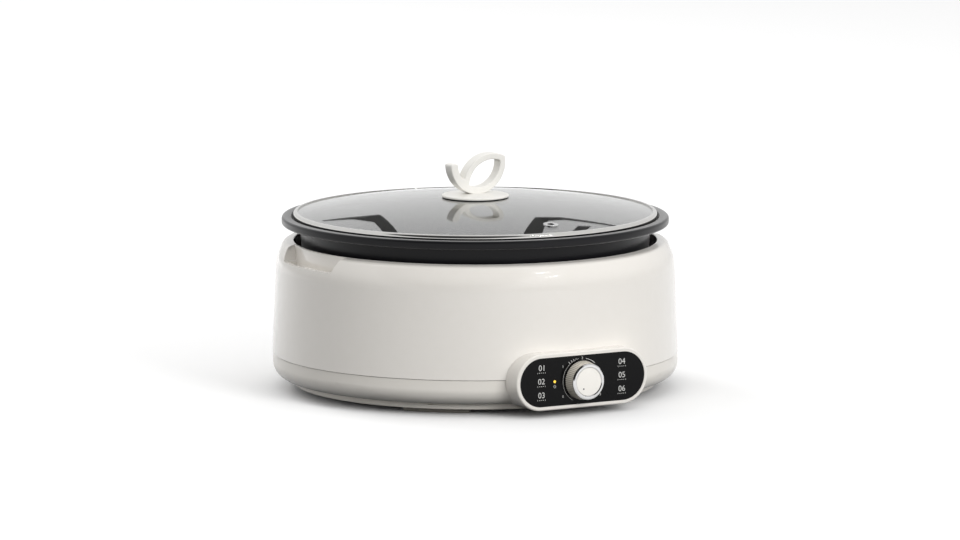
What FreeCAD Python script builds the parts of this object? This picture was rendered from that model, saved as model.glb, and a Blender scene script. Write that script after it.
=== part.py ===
"""Electric hot pot: a round base with a control pod, a lift-out cooking pot and a lift-off glass lid.

The frame has +Z up and the control pod facing -Y. The origin lies on the table, under the middle
of the whole outline. The pot's axis is vertical and stands a little behind the origin, because
the control knob reaches further forward than the housing reaches back.

Every size is a cell of the sheet "Sizes", in millimetres or degrees. A sub-part is a PartDesign
body, drawn round the pot's axis and then placed, with each dimension bound to those cells.
"""
import FreeCAD, Part
import math
import os
import re

import Sketcher
from FreeCAD import Placement, Rotation, Vector

SIZES = (
    # The upper housing, from the seam up to the round opening.
    ("wall_draft", 3.3, "the housing's wall leans in by this much, seam to shoulder"),
    ("seam_height", 32.5, "top edge of the lower housing"),
    ("seam_gap", 0.5, "open joint between the two housings"),
    ("wall", 2.6, "moulded wall of the housings"),
    ("shoulder_width", 6.8, "width of the shoulder, outside the flat top"),
    ("shoulder_fall", 12.4, "height of the shoulder"),
    ("waist_round", 38.0, "large shoulder curve"),
    ("top_width", 9.0, "width of the flat top round the opening"),
    ("top_fall", 1.5, "fall of the flat top, away from the opening"),
    ("brow_round", 6.0, "small curve at the top of the shoulder"),
    ("pot_play", 5.4, "air between the pot's neck and the opening"),
    ("opening_height", 131.5, "edge of that opening"),
    ("opening_round", 0.9, "rounding of that edge"),
    ("collar_depth", 24.0, "collar that hangs from the opening"),
    # The two finger recesses in the shoulder.
    ("lip_drop", 13.5, "low edge of a recess, below the opening's edge"),
    ("recess_half_width", 42.0, "half the recess at its low edge"),
    ("recess_flare", 5.3, "how much wider each side is at the opening's height"),
    ("recess_corner", 2.4, "rounding of the recess's low corners"),
    ("scoop_depth", 4.0, "gutter below the low edge, for the fingertips"),
    ("scoop_round", 3.0, "rounding at the bottom of the gutter"),
    # The lower housing and the base.
    ("belly_step", 0.6, "the lower housing stands back by this much at the seam"),
    ("belly_gap", 0.6, "groove between the base's band and the lower housing"),
    ("groove_depth", 3.3, "depth of that groove"),
    ("belly_round", 14.0, "its rounded lower edge"),
    ("belly_land", 38.1, "width of its floor, in from its wall"),
    ("tongue_height", 4.0, "tongue that centres the housings"),
    ("tongue_wall", 2.0, "thickness of that tongue"),
    ("fit", 0.2, "clearance between pieces that fit together"),
    ("foot_height", 4.5, "table to the underside of the base"),
    ("plinth_inset", 18.6, "the base stands back by this much from the wall above"),
    ("plinth_band", 5.1, "height of its visible band"),
    ("plinth_round", 0.8, "rounding of that band"),
    ("cover_floor", 2.5, "thickness of the base's floor"),
    ("spigot_height", 4.0, "rim that centres the base in the lower housing"),
    ("notch_span", 3.0, "degrees of a snap notch in the band"),
    ("notch_height", 1.6, "height of a snap notch"),
    ("vent_length", 34.0, "length of the air slots"),
    ("vent_margin", 12.0, "outer end of the air slots, in from the lower housing's hole"),
    ("vent_width", 3.0, "width of an air slot"),
    ("vent_count", 24, "number of air slots"),
    ("foot_angle", 43.2, "degrees of each foot from the front or the back"),
    ("foot_span", 22.5, "degrees that a foot covers"),
    ("foot_inset", 9.0, "a foot stands back by this much from the base's edge"),
    ("foot_width", 15.0, "radial width of a foot"),
    ("foot_round", 1.5, "rounding of its tread"),
    ("foot_seat", 0.8, "how deep a foot is let into the base"),
    # Screws of the base and of the heating plate.
    ("screw_land", 10.0, "base screws, out from the lower housing's hole"),
    ("screw_radius", 1.75, "shank of every self-tapping screw"),
    ("screw_head", 3.8, "radius of its head"),
    ("head_height", 1.8, "height of its head"),
    ("head_sink", 2.2, "depth of the counterbore for it"),
    ("boss_radius", 4.6, "radius of a screw boss"),
    ("boss_height", 11.0, "boss inside the lower housing"),
    ("bite", 0.05, "clearance of a screw in its own thread"),
    ("hole_ease", 0.35, "clearance of a screw in a plain hole"),
    # The well and the heating plate.
    ("liner_sheet", 1.2, "sheet of the well liner"),
    ("liner_step", 2.4, "the liner's mouth is narrower than the opening"),
    ("liner_taper", 11.2, "taper of the liner's wall"),
    ("liner_round", 28.8, "curve between them"),
    ("plate_rise", 12.5, "top of the plate above the liner's floor"),
    ("liner_lip", 1.8, "the liner's flange reaches out under the collar"),
    ("plate_radius", 95.0, "heating plate"),
    ("plate_thick", 8.0, "its thickness"),
    ("sensor_play", 3.0, "gap round the sensor in the plate"),
    ("post_inset", 13.0, "posts that carry the plate, in from its edge"),
    ("element_inset", 29.0, "tubular element, in from the plate's edge"),
    ("element_radius", 4.0, "radius of that tube"),
    ("element_open", 28.0, "degrees left open between its ends"),
    ("pin_radius", 1.8, "connecting pin at each end"),
    ("pin_turn", 2.0, "degrees from the tube's end to its pin"),
    ("pin_drop", 13.0, "how far a pin reaches below the tube's middle"),
    ("fuse_radius", 2.0, "thermal fuse"),
    ("fuse_length", 24.0, "its length"),
    ("fuse_offset", 45.0, "its distance from the pot's axis"),
    # The spring-loaded sensor in the middle of the plate.
    ("sensor_radius", 16.0, "cup that touches the pot"),
    ("sensor_height", 7.7, "height of that cup"),
    ("sensor_skin", 1.3, "its wall"),
    ("guide_radius", 7.0, "guide tube inside it"),
    ("guide_bore", 4.5, "bore of that tube, for the wires"),
    ("guide_height", 7.4, "height of that tube"),
    ("coil_radius", 10.5, "mean radius of the sensor's spring"),
    ("coil_wire", 0.7, "radius of its wire"),
    ("coil_turns", 4, "its turns"),
    # The cooking pot.
    ("stand_off", 0.3, "air between the pot and what it stands on, or the lid and the pot"),
    ("pot_taper", 6.6, "taper of the pot's wall"),
    ("pot_round", 22.0, "curve between them"),
    ("pot_neck", 154.2, "outer radius at the top of its wall"),
    ("pot_height", 102.4, "pot from its underside to the top of its rim"),
    ("pot_wall", 2.9, "wall and floor of the pot"),
    ("rim_width", 16.0, "the rim stands out from the wall by this much"),
    ("rim_thick", 7.3, "height of the rim"),
    ("rim_rise", 20.9, "top of the rim above the opening's edge"),
    ("rim_land", 8.4, "width of the rim's top face"),
    ("rim_round", 2.2, "rounding of the rim"),
    ("seat_drop", 4.3, "ledge that the lid sits on, below the rim"),
    # The lid.
    ("lid_play", 1.8, "gap round the lid in the rim"),
    ("lid_ring_height", 8.0, "height of the lid's steel ring"),
    ("ring_lip", 3.6, "width of the ring's lips"),
    ("ring_sheet", 1.0, "sheet of the ring"),
    ("ring_round", 1.2, "rounding of its top edge"),
    ("glass_thick", 4.0, "tempered glass"),
    ("glass_play", 0.1, "play of the glass in its ring"),
    ("dome_margin", 0.5, "flat glass inside the ring, before the dome"),
    ("dome_rise", 13.4, "height of the dome above its edge"),
    ("vent_inset", 24.9, "steam vent at the front, in from the dome's edge"),
    ("vent_hole", 3.0, "radius of the steam hole"),
    ("eyelet_radius", 6.5, "flange of the eyelet"),
    ("eyelet_barrel", 3.8, "barrel of the eyelet"),
    ("eyelet_play", 0.7, "play of the barrel in the glass"),
    ("eyelet_sheet", 0.8, "thickness of its flanges"),
    ("bolt_radius", 2.05, "shank of the lid's screw"),
    ("bolt_head", 5.0, "its head"),
    ("bolt_head_height", 2.0, "height of that head"),
    ("bolt_grip", 4.0, "how deep it enters the loop"),
    ("washer_radius", 12.0, "silicone washer under the glass"),
    ("washer_thick", 1.9, "its thickness"),
    # The lid's knob: a disc and a leaf-shaped loop.
    ("disc_radius", 29.5, "disc under the loop"),
    ("disc_bottom", 0.1, "disc above the crown of the dome"),
    ("disc_edge", 2.0, "thickness of the disc at its edge"),
    ("disc_height", 3.3, "thickness of the disc in its middle"),
    ("disc_crown", 14.0, "radius where its slope begins"),
    ("ribbon_width", 11.6, "loop from front to back"),
    ("bow_sink", 0.8, "flat that the disc cuts off the long bow"),
    ("bow_outer", 27.6, "outer radius of the long bow"),
    ("bow_thick", 6.4, "thickness of the long bow"),
    ("bow_shift", 1.0, "its inner circle lies this far to the right"),
    ("tip_rise", 4.8, "its end at the leaf's tip, above the bow's centre"),
    ("horn_rise", 0.4, "its free end, above the bow's centre"),
    ("horn_round", 2.0, "rounding of that end"),
    ("joint_round", 1.5, "rounding where the bows meet"),
    ("leaf_offset", 14.2, "centre of the short bow, right of the axis"),
    ("leaf_rise", 6.0, "centre of the short bow, above the disc"),
    ("leaf_outer", 29.0, "outer radius of the short bow"),
    ("leaf_thick", 5.7, "thickness of the short bow"),
    ("leaf_start_angle", 63.5, "degrees where the short bow starts, at the tip"),
    ("leaf_end_angle", 178.0, "degrees where it runs into the long bow"),
    ("ribbon_round", 1.0, "rounding of the ribbon's edges"),
    # The control pod at the front.
    ("panel_drop", 1.2, "middle of the panel, below the seam"),
    ("panel_reach", 41.0, "from that middle to the centre of each round end"),
    ("panel_corner", 21.2, "radius of the round ends of the glass"),
    ("panel_stand", 6.3, "front of the glass, before the housing's widest place"),
    ("panel_thick", 2.5, "thickness of the glass"),
    ("bezel_width", 3.5, "rim of the pod round the glass"),
    ("bezel_proud", 0.6, "how far the rim stands in front of the glass"),
    ("bezel_round", 1.4, "rounding of that rim"),
    ("web_thick", 2.5, "web of the pod behind the glass"),
    ("sleeve_corner", 16.7, "round ends of the sleeve that enters the housings"),
    ("sleeve_wall", 2.0, "wall of the sleeve"),
    ("sleeve_reach", 18.7, "back end of the sleeve, behind the housing's widest place"),
    ("window_play", 0.3, "clearance of the sleeve in its window"),
    ("pod_gap", 2.0, "air between the pod and the base's band"),
    ("lamp_offset", 27.5, "indicator lamp, left of the knob"),
    ("lamp_radius", 1.2, "its light guide"),
    ("lamp_play", 0.1, "clearance round the light guide"),
    ("board_margin", 9.0, "left edge of the circuit board, beyond the panel's round end"),
    ("board_right", 18.0, "right edge of the circuit board, from the middle"),
    ("board_half", 10.5, "half the board's height"),
    ("board_thick", 1.6, "thickness of the board"),
    ("board_gap", 6.4, "board behind the web"),
    ("pillar_radius", 2.0, "pillars that hold the board"),
    ("relay_width", 15.0, "relay on the board"),
    ("relay_height", 11.0, "relay, up and down"),
    ("relay_depth", 10.0, "relay, front to back"),
    # The rotary switch and its knob.
    ("knob_drop", 0.7, "knob below the panel's middle"),
    ("knob_reach", 12.0, "front of the knob before the glass"),
    ("knob_gap", 0.5, "air between the knob and the glass"),
    ("knob_rear", 17.0, "radius of the knob at the glass"),
    ("knob_taper", 1.4, "the knob is narrower by this much at its front ring"),
    ("knob_skin", 1.6, "wall of the knob"),
    ("rib_depth", 0.6, "depth of the grip's grooves"),
    ("rib_count", 60, "number of those grooves"),
    ("ring_height", 2.0, "front ring of the knob"),
    ("ring_bevel", 1.0, "its bevel"),
    ("ring_face", 3.2, "width of the front ring, round its disc"),
    ("cap_height", 1.5, "thickness of that disc"),
    ("cap_play", 0.1, "gap round that disc"),
    ("mark_circle", 8.0, "pointer mark, from the knob's axis"),
    ("mark_angle", 229.0, "degrees of the pointer mark when the knob is off"),
    ("mark_radius", 0.8, "radius of the pointer mark"),
    ("mark_depth", 0.4, "depth of the pointer mark"),
    ("shaft_radius", 3.0, "shaft of the rotary switch"),
    ("shaft_play", 0.05, "running clearance of the shaft"),
    ("shaft_back", 12.0, "how far the shaft reaches behind the web"),
    ("hub_radius", 6.0, "hub inside the knob"),
    ("bush_radius", 4.6, "threaded bush of the switch"),
    ("bush_play", 0.2, "clearance of the bush in the web and the glass"),
    ("switch_half", 12.5, "half the side of the switch's case"),
    ("switch_depth", 15.0, "depth of that case"),
    ("lug_length", 5.0, "lugs behind the case"),
    ("lug_width", 4.0, "width of a lug"),
    ("lug_thick", 0.8, "thickness of a lug"),
    # The mains inlet at the back.
    ("inlet_sink", 0.1, "front of its flange, behind the housing's widest place"),
    ("inlet_flange", 2.0, "thickness of the flange"),
    ("inlet_half_width", 15.6, "half the flange's width"),
    ("inlet_half_height", 11.8, "half the flange's height"),
    ("inlet_edge", 2.2, "flange beyond the body, on every side"),
    ("inlet_corner", 2.5, "rounding of the inlet's corners"),
    ("inlet_depth", 18.0, "body behind the flange"),
    ("inlet_wall", 1.8, "wall of the body"),
    ("blade_half_width", 1.0, "half the width of a contact blade"),
    ("blade_half_height", 2.0, "half the height of a contact blade"),
    ("blade_pitch", 7.0, "live and neutral blades, each side of the middle"),
    ("blade_drop", 2.0, "live and neutral blades below the middle"),
    ("blade_rise", 2.6, "earth blade above the middle"),
    ("blade_sink", 3.6, "blade tips behind the flange's face"),
    ("blade_tail", 6.0, "blades behind the inlet's body"),
)

# Places that follow from the sizes above, written as expressions of the sheet.
AXIS_Y = "(panel_stand + knob_reach) / 2"
OPENING_RADIUS = "(pot_neck + pot_play)"
BROW_RADIUS = f"({OPENING_RADIUS} + top_width)"
WAIST_RADIUS = f"({BROW_RADIUS} + shoulder_width)"
BODY_RADIUS = f"({WAIST_RADIUS} + wall_draft)"
BROW_HEIGHT = "(opening_height - top_fall)"
WAIST_HEIGHT = f"({BROW_HEIGHT} - shoulder_fall)"
TOP_SLOPE = "top_fall / top_width"
COLLAR_OUTER = f"({OPENING_RADIUS} + wall)"
COLLAR_BOTTOM = "opening_height - collar_depth"
LIP_HEIGHT = "(opening_height - lip_drop)"
SCOOP_FLOOR = f"{LIP_HEIGHT} - scoop_depth"
SEAM_TOP = "seam_height + seam_gap"
PLINTH_TOP = "(foot_height + plinth_band)"
BELLY_HEIGHT = f"({PLINTH_TOP} + belly_gap)"
BELLY_RADIUS = f"({BODY_RADIUS} - belly_step)"
BELLY_MOUTH = f"({BELLY_RADIUS} - belly_land)"
BELLY_FLOOR = f"{BELLY_HEIGHT} + wall"
TONGUE_OUTER = f"{BODY_RADIUS} - wall - fit"
PLINTH_RADIUS = f"({BELLY_RADIUS} - plinth_inset)"
COVER_FLOOR = "foot_height + cover_floor"
VENT_END = f"({BELLY_MOUTH} - vent_margin)"
VENT_START = f"({VENT_END} - vent_length)"
FOOT_OUTER = f"({PLINTH_RADIUS} - foot_inset)"
SCREW_CIRCLE = f"({BELLY_MOUTH} + screw_land)"
SCREW_SEAT = "foot_height + head_sink"
THREAD_HOLE = "screw_radius + bite"
PLAIN_HOLE = "screw_radius + hole_ease"
RIM_TOP = "(opening_height + rim_rise)"
RIM_BOTTOM = f"({RIM_TOP} - rim_thick)"
SEAT_HEIGHT = f"({RIM_TOP} - seat_drop)"
POT_BOTTOM = f"({RIM_TOP} - pot_height)"
POT_BASE = "(pot_neck - pot_taper)"
RIM_RADIUS = "(pot_neck + rim_width)"
RIM_INNER = f"({RIM_RADIUS} - rim_land)"
PLATE_TOP = f"({POT_BOTTOM} - stand_off)"
PLATE_UNDER = f"({PLATE_TOP} - plate_thick)"
THREAD_TOP = f"{PLATE_TOP} - plate_thick / 2"
PLATE_HOLE = "(sensor_radius + sensor_play)"
POST_CIRCLE = "(plate_radius - post_inset)"
ELEMENT_CIRCLE = "(plate_radius - element_inset)"
PIN_X = f"{ELEMENT_CIRCLE} * cos(element_open / 2 + pin_turn)"
PIN_Y = f"{ELEMENT_CIRCLE} * sin(element_open / 2 + pin_turn)"
LINER_MOUTH = f"({OPENING_RADIUS} - liner_step)"
LINER_BASE = f"({LINER_MOUTH} - liner_taper)"
LINER_FLANGE = f"({OPENING_RADIUS} + liner_lip)"
LINER_FLOOR = f"({PLATE_TOP} - plate_rise)"
LINER_UNDER = f"({LINER_FLOOR} - liner_sheet)"
RING_RADIUS = f"({RIM_INNER} - lid_play)"
RING_INNER = f"({RING_RADIUS} - ring_lip)"
RING_TOP = f"({SEAT_HEIGHT} + stand_off + lid_ring_height)"
DOME_EDGE = f"({RING_INNER} - dome_margin)"
VENT_RADIUS = f"({DOME_EDGE} - vent_inset)"
GLASS_TOP = f"({RING_TOP} - ring_sheet)"
GLASS_LOW = f"{GLASS_TOP} - glass_thick"
CROWN = f"{GLASS_TOP} + dome_rise"
DOME_RADIUS = f"({DOME_EDGE} * {DOME_EDGE} / dome_rise + dome_rise) / 2"
INNER_DOME = f"({DOME_RADIUS} - glass_thick)"
DISC_BOTTOM = f"{CROWN} + disc_bottom"
DISC_TOP = f"{DISC_BOTTOM} + disc_height"
BOW_RISE = "(bow_outer - bow_sink)"
BOW_INNER = "(bow_outer - bow_thick)"
BOW_TIP = f"({BOW_RISE} + tip_rise)"
HORN_TIP = f"({BOW_RISE} + horn_rise)"
LEAF_INNER = "(leaf_outer - leaf_thick)"
PANEL_HEIGHT = "(seam_height - panel_drop)"
PANEL_FACE = f"({BODY_RADIUS} + panel_stand)"
BEZEL_FACE = f"{PANEL_FACE} + bezel_proud"
BEZEL_CORNER = "panel_corner + bezel_width"
GLASS_SEAT = f"{PANEL_FACE} - panel_thick"
WEB_BACK = f"{PANEL_FACE} - panel_thick - web_thick"
BOARD_FACE = f"{WEB_BACK} - board_gap"
BOARD_LEFT = "(panel_reach + board_margin)"
SLEEVE_BACK = f"({BODY_RADIUS} - sleeve_reach)"
KNOB_HEIGHT = f"{PANEL_HEIGHT} - knob_drop"
KNOB_PLATE = "knob_reach - ring_height"
KNOB_FRONT = "(knob_rear - knob_taper)"
CAP_RADIUS = f"({KNOB_FRONT} - ring_face)"
INLET_FACE = f"({BODY_RADIUS} - inlet_sink)"
INLET_HEIGHT = f"({SEAM_TOP} + tongue_height + inlet_half_height - inlet_edge)"
INLET_SEAT = f"{INLET_FACE} - inlet_flange"
INLET_BACK = f"{INLET_FACE} - inlet_flange - inlet_depth"

# An inner corner of the shell lies on the bisector of the outer one, at these shares of the wall.
BROW_INSET = (0.64, 0.90)
WAIST_INSET = (0.99, 0.27)
OVERLAP = 0.6
TINY = 1e-6

DOC = FreeCAD.newDocument("hot_pot")
SHEET = DOC.addObject("Spreadsheet::Sheet", "Sizes")
SUBPARTS = []


def fill_sheet():
    """Writes each size into the sheet as a plain number with its alias and its meaning."""
    for row, (alias, number, meaning) in enumerate(SIZES, start=1):
        SHEET.set(f"A{row}", alias)
        SHEET.set(f"B{row}", str(number))
        SHEET.set(f"C{row}", meaning)
        SHEET.setAlias(f"B{row}", alias)
    DOC.recompute()


def named(expression):
    """The expression with every alias written as a cell of the sheet."""
    return re.sub(r"\b([a-z]\w*)\b(?!\()", r"Sizes.\1", str(expression))


def number(expression):
    """What an expression of aliases comes to."""
    result = SHEET.evalExpression(str(expression))
    return float(getattr(result, "Value", result))


def minus(expression):
    """The expression with its sign turned."""
    return f"-1 * ({expression})"


# Sketches ---------------------------------------------------------------------------------------


def sketch_on(body, role, name, offset="0", turn=None):
    """A sketch on one of the body's origin planes, moved along its normal and turned upright."""
    sketch = body.newObject("Sketcher::SketchObject", name)
    plane = next(item for item in body.Origin.OriginFeatures if item.Role == role)
    sketch.AttachmentSupport = [(plane, "")]
    sketch.MapMode = "FlatFace"
    rotation = Rotation()
    if turn is not None:
        rotation = Rotation(Vector(0, 1, 0), number(turn))
    sketch.AttachmentOffset = Placement(Vector(0, 0, number(offset)), rotation)
    sketch.setExpression("AttachmentOffset.Base.z", named(offset))
    if turn is not None:
        sketch.setExpression("AttachmentOffset.Rotation.Angle", named(turn))
    return sketch


def bind(sketch, constraints):
    """Adds constraints given as (constraint, expression) and binds each to its expression."""
    indexes = sketch.addConstraint([constraint for constraint, _ in constraints])
    for index, (_, expression) in zip(indexes, constraints):
        if expression is not None:
            sketch.setExpression(f"Constraints[{index}]", named(expression))


def pin_point(geometry, position, x, y):
    """Constraints that hold a point at x, y from the sketch's origin."""
    across = Sketcher.Constraint("DistanceX", -1, 1, geometry, position, number(x))
    upward = Sketcher.Constraint("DistanceY", -1, 1, geometry, position, number(y))
    return [(across, x), (upward, y)]


def corner(x, y, rounding=None, arc=None):
    """A corner of an outline: its place, its rounding and the radius of the edge that leaves it.

    A positive arc bulges to the right of the way of travel, a negative one to the left.
    """
    return {"x": x, "y": y, "rounding": rounding, "arc": arc}


def arc_between(start, end, radius):
    """The circle arc from start to end, and which of its ends is the start."""
    chord = end - start
    side = Vector(chord.y, -chord.x, 0).normalize()
    height = math.sqrt(max(radius * radius - chord.Length * chord.Length / 4, 0))
    middle = (start + end) / 2
    centre = middle - side * height * math.copysign(1, radius)
    circle = Part.Circle(centre, Vector(0, 0, 1), abs(radius))
    first, last = (start, end) if radius > 0 else (end, start)
    angles = [math.atan2(point.y - centre.y, point.x - centre.x) for point in (first, last)]
    if angles[1] <= angles[0]:
        angles[1] += 2 * math.pi
    return Part.ArcOfCircle(circle, *angles), (1, 2) if radius > 0 else (2, 1)


def round_corner(before, here, after, radius):
    """Where a rounding touches the two sides of a corner, and its radius signed for its bulge."""
    back = (before - here).normalize()
    ahead = (after - here).normalize()
    turn = math.pi - back.getAngle(ahead)
    reach = radius * math.tan(turn / 2)
    cross = back.x * ahead.y - back.y * ahead.x
    return here + back * reach, here + ahead * reach, -math.copysign(radius, cross)


def outline(sketch, corners):
    """Draws a closed outline through corners, with rounded corners and curved edges."""
    count = len(corners)
    points = [Vector(number(item["x"]), number(item["y"]), 0) for item in corners]
    starts, ends, bulges = list(points), list(points), [0.0] * count
    for index, item in enumerate(corners):
        if item["rounding"]:
            around = (points[index - 1], points[index], points[(index + 1) % count])
            touch = round_corner(*around, number(item["rounding"]))
            ends[index], starts[index], bulges[index] = touch
    edges, constraints = [], []
    for index, item in enumerate(corners):
        start, end = starts[index], ends[(index + 1) % count]
        if item["arc"]:
            curve, order = arc_between(start, end, number(item["arc"]))
        else:
            curve, order = Part.LineSegment(start, end), (1, 2)
        edges.append((sketch.addGeometry(curve, False), *order))
        if item["arc"]:
            size = item["arc"].lstrip("-")
            radius = Sketcher.Constraint("Radius", edges[-1][0], number(size))
            constraints.append((radius, size))
    for index, item in enumerate(corners):
        arriving, leaving = edges[index - 1], edges[index]
        if not item["rounding"]:
            join = Sketcher.Constraint("Coincident", arriving[0], arriving[2], leaving[0], leaving[1])
            constraints.append((join, None))
            constraints += pin_point(leaving[0], leaving[1], item["x"], item["y"])
            continue
        curve, order = arc_between(ends[index], starts[index], bulges[index])
        arc = sketch.addGeometry(curve, False)
        point = sketch.addGeometry(Part.Point(points[index]), True)
        constraints += pin_point(point, 1, item["x"], item["y"])
        size = Sketcher.Constraint("Radius", arc, number(item["rounding"]))
        pairs = (
            Sketcher.Constraint("PointOnObject", point, 1, arriving[0]),
            Sketcher.Constraint("PointOnObject", point, 1, leaving[0]),
            Sketcher.Constraint("Tangent", arriving[0], arriving[2], arc, order[0]),
            Sketcher.Constraint("Tangent", arc, order[1], leaving[0], leaving[1]),
        )
        constraints += [(pair, None) for pair in pairs]
        constraints.append((size, item["rounding"]))
    bind(sketch, constraints)
    return sketch


def rectangle(sketch, x, y, half_width, half_height, rounding=None):
    """A rectangle about x, y."""
    signs = ((-1, -1), (1, -1), (1, 1), (-1, 1))
    corners = [
        corner(f"{x} + {sx} * ({half_width})", f"{y} + {sy} * ({half_height})", rounding)
        for sx, sy in signs
    ]
    return outline(sketch, corners)


def circle(sketch, x, y, radius):
    """A circle about x, y."""
    centre = Vector(number(x), number(y), 0)
    ring = sketch.addGeometry(Part.Circle(centre, Vector(0, 0, 1), number(radius)), False)
    constraints = pin_point(ring, 3, x, y)
    constraints.append((Sketcher.Constraint("Radius", ring, number(radius)), radius))
    bind(sketch, constraints)
    return sketch


def stadium(sketch, x, y, reach, radius):
    """Two straight sides and two half-round ends, whose centres lie at x plus and minus reach."""
    middle = Vector(number(x), number(y), 0)
    half, size = Vector(number(reach), 0, 0), number(radius)
    up = Vector(0, size, 0)
    normal = Vector(0, 0, 1)
    quarter = math.pi / 2
    right_end = Part.ArcOfCircle(Part.Circle(middle + half, normal, size), -quarter, quarter)
    left_end = Part.ArcOfCircle(Part.Circle(middle - half, normal, size), quarter, 3 * quarter)
    right = sketch.addGeometry(right_end, False)
    left = sketch.addGeometry(left_end, False)
    top = sketch.addGeometry(Part.LineSegment(middle + half + up, middle - half + up), False)
    low = sketch.addGeometry(Part.LineSegment(middle - half - up, middle + half - up), False)
    constraints = pin_point(right, 3, f"{x} + {reach}", y) + pin_point(left, 3, f"{x} - {reach}", y)
    constraints.append((Sketcher.Constraint("Radius", right, size), radius))
    links = (
        Sketcher.Constraint("Tangent", right, 2, top, 1),
        Sketcher.Constraint("Tangent", top, 2, left, 1),
        Sketcher.Constraint("Tangent", left, 2, low, 1),
        Sketcher.Constraint("Tangent", low, 2, right, 1),
    )
    constraints += [(link, None) for link in links]
    bind(sketch, constraints)
    return sketch


# Features ---------------------------------------------------------------------------------------


def new_body(label):
    """A sub-part of its own, whose label names its file."""
    body = DOC.addObject("PartDesign::Body", label)
    body.Label = label
    SUBPARTS.append(body)
    return body


def place(body, x="0", y=AXIS_Y, z="0", axis=None, angle="0"):
    """Puts a body at x, y, z, turned by an angle about an axis through that place."""
    turn = Rotation(axis or Vector(0, 0, 1), number(angle))
    body.Placement = Placement(Vector(number(x), number(y), number(z)), turn)
    for name, expression in (("x", x), ("y", y), ("z", z)):
        body.setExpression(f"Placement.Base.{name}", named(expression))
    if axis is not None:
        body.setExpression("Placement.Rotation.Angle", named(angle))
    return body


def facing_front(body, distance, z):
    """Puts a body drawn round its own Z so that it points at the user, at a distance forward."""
    return place(body, y=f"{AXIS_Y} - ({distance})", z=z, axis=Vector(1, 0, 0), angle="90")


def finish(body, feature):
    """Makes the feature the body's last one and checks that a cut takes something away."""
    body.Tip = feature
    DOC.recompute()
    if "Invalid" in feature.State or feature.Shape.isNull():
        raise RuntimeError(f"{body.Label}: {feature.Label} failed")
    is_cut = feature.TypeId in ("PartDesign::Pocket", "PartDesign::Groove")
    if is_cut and feature.Shape.Volume >= feature.BaseFeature.Shape.Volume - TINY:
        raise RuntimeError(f"{body.Label}: {feature.Label} cuts nothing")
    return feature


def spin(body, name, corners, cut=False, angle="360", turn=None):
    """Revolves an outline of radius and height about the body's Z axis.

    A partial turn lies evenly on both sides of the sketch's plane.
    """
    sketch = outline(sketch_on(body, "XZ_Plane", f"{name}_outline", turn=turn), corners)
    kind = "PartDesign::Groove" if cut else "PartDesign::Revolution"
    feature = body.newObject(kind, name)
    feature.Profile = sketch
    feature.ReferenceAxis = (sketch, ["V_Axis"])
    feature.Midplane = angle != "360"
    feature.Angle = number(angle)
    feature.setExpression("Angle", named(angle))
    return finish(body, feature)


def extrude(body, name, sketch, depth, cut=False, against=False, both=False):
    """Pads or pockets a sketch along its plane's normal, against it, or half each way."""
    feature = body.newObject("PartDesign::Pocket" if cut else "PartDesign::Pad", name)
    feature.Profile = sketch
    feature.Type = "Length"
    if both:
        feature.SideType = "Symmetric"
    else:
        feature.Reversed = against != cut
    feature.Length = number(depth)
    feature.setExpression("Length", named(depth))
    return finish(body, feature)


def repeat_round(body, name, features, count):
    """Repeats features evenly about the body's Z axis."""
    pattern = body.newObject("PartDesign::PolarPattern", name)
    pattern.Originals = features
    axis = next(item for item in body.Origin.OriginFeatures if item.Role == "Z_Axis")
    pattern.Axis = (axis, [""])
    pattern.Angle = 360
    pattern.Occurrences = int(number(count))
    pattern.setExpression("Occurrences", named(count))
    return finish(body, pattern)


def round_edges(body, name, feature, radius, wanted):
    """Fillets the feature's edges that the function wanted picks."""
    edges = [
        f"Edge{index}" for index, edge in enumerate(feature.Shape.Edges, start=1) if wanted(edge)
    ]
    fillet = body.newObject("PartDesign::Fillet", name)
    fillet.Base = (feature, edges)
    fillet.Radius = number(radius)
    fillet.setExpression("Radius", named(radius))
    return finish(body, fillet)


# Housings ---------------------------------------------------------------------------------------


def shell_corners(inset):
    """The waist and brow corners of the upper housing, moved in by a share of its wall."""
    waist = [f"{inset * share} * wall" for share in WAIST_INSET]
    brow = [f"{inset * share} * wall" for share in BROW_INSET]
    return (
        corner(f"{WAIST_RADIUS} - {waist[0]}", f"{WAIST_HEIGHT} - {waist[1]}"),
        corner(f"{BROW_RADIUS} - {brow[0]}", f"{BROW_HEIGHT} - {brow[1]}"),
    )


def pod_window(body, name):
    """The opening through the front wall that the pod's sleeve goes into."""
    face = sketch_on(body, "XZ_Plane", f"{name}_outline", offset=BEZEL_FACE)
    stadium(face, "0", PANEL_HEIGHT, "panel_reach", "sleeve_corner + window_play")
    extrude(body, name, face, f"{BEZEL_FACE} - {SLEEVE_BACK}", cut=True, against=True)


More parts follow.
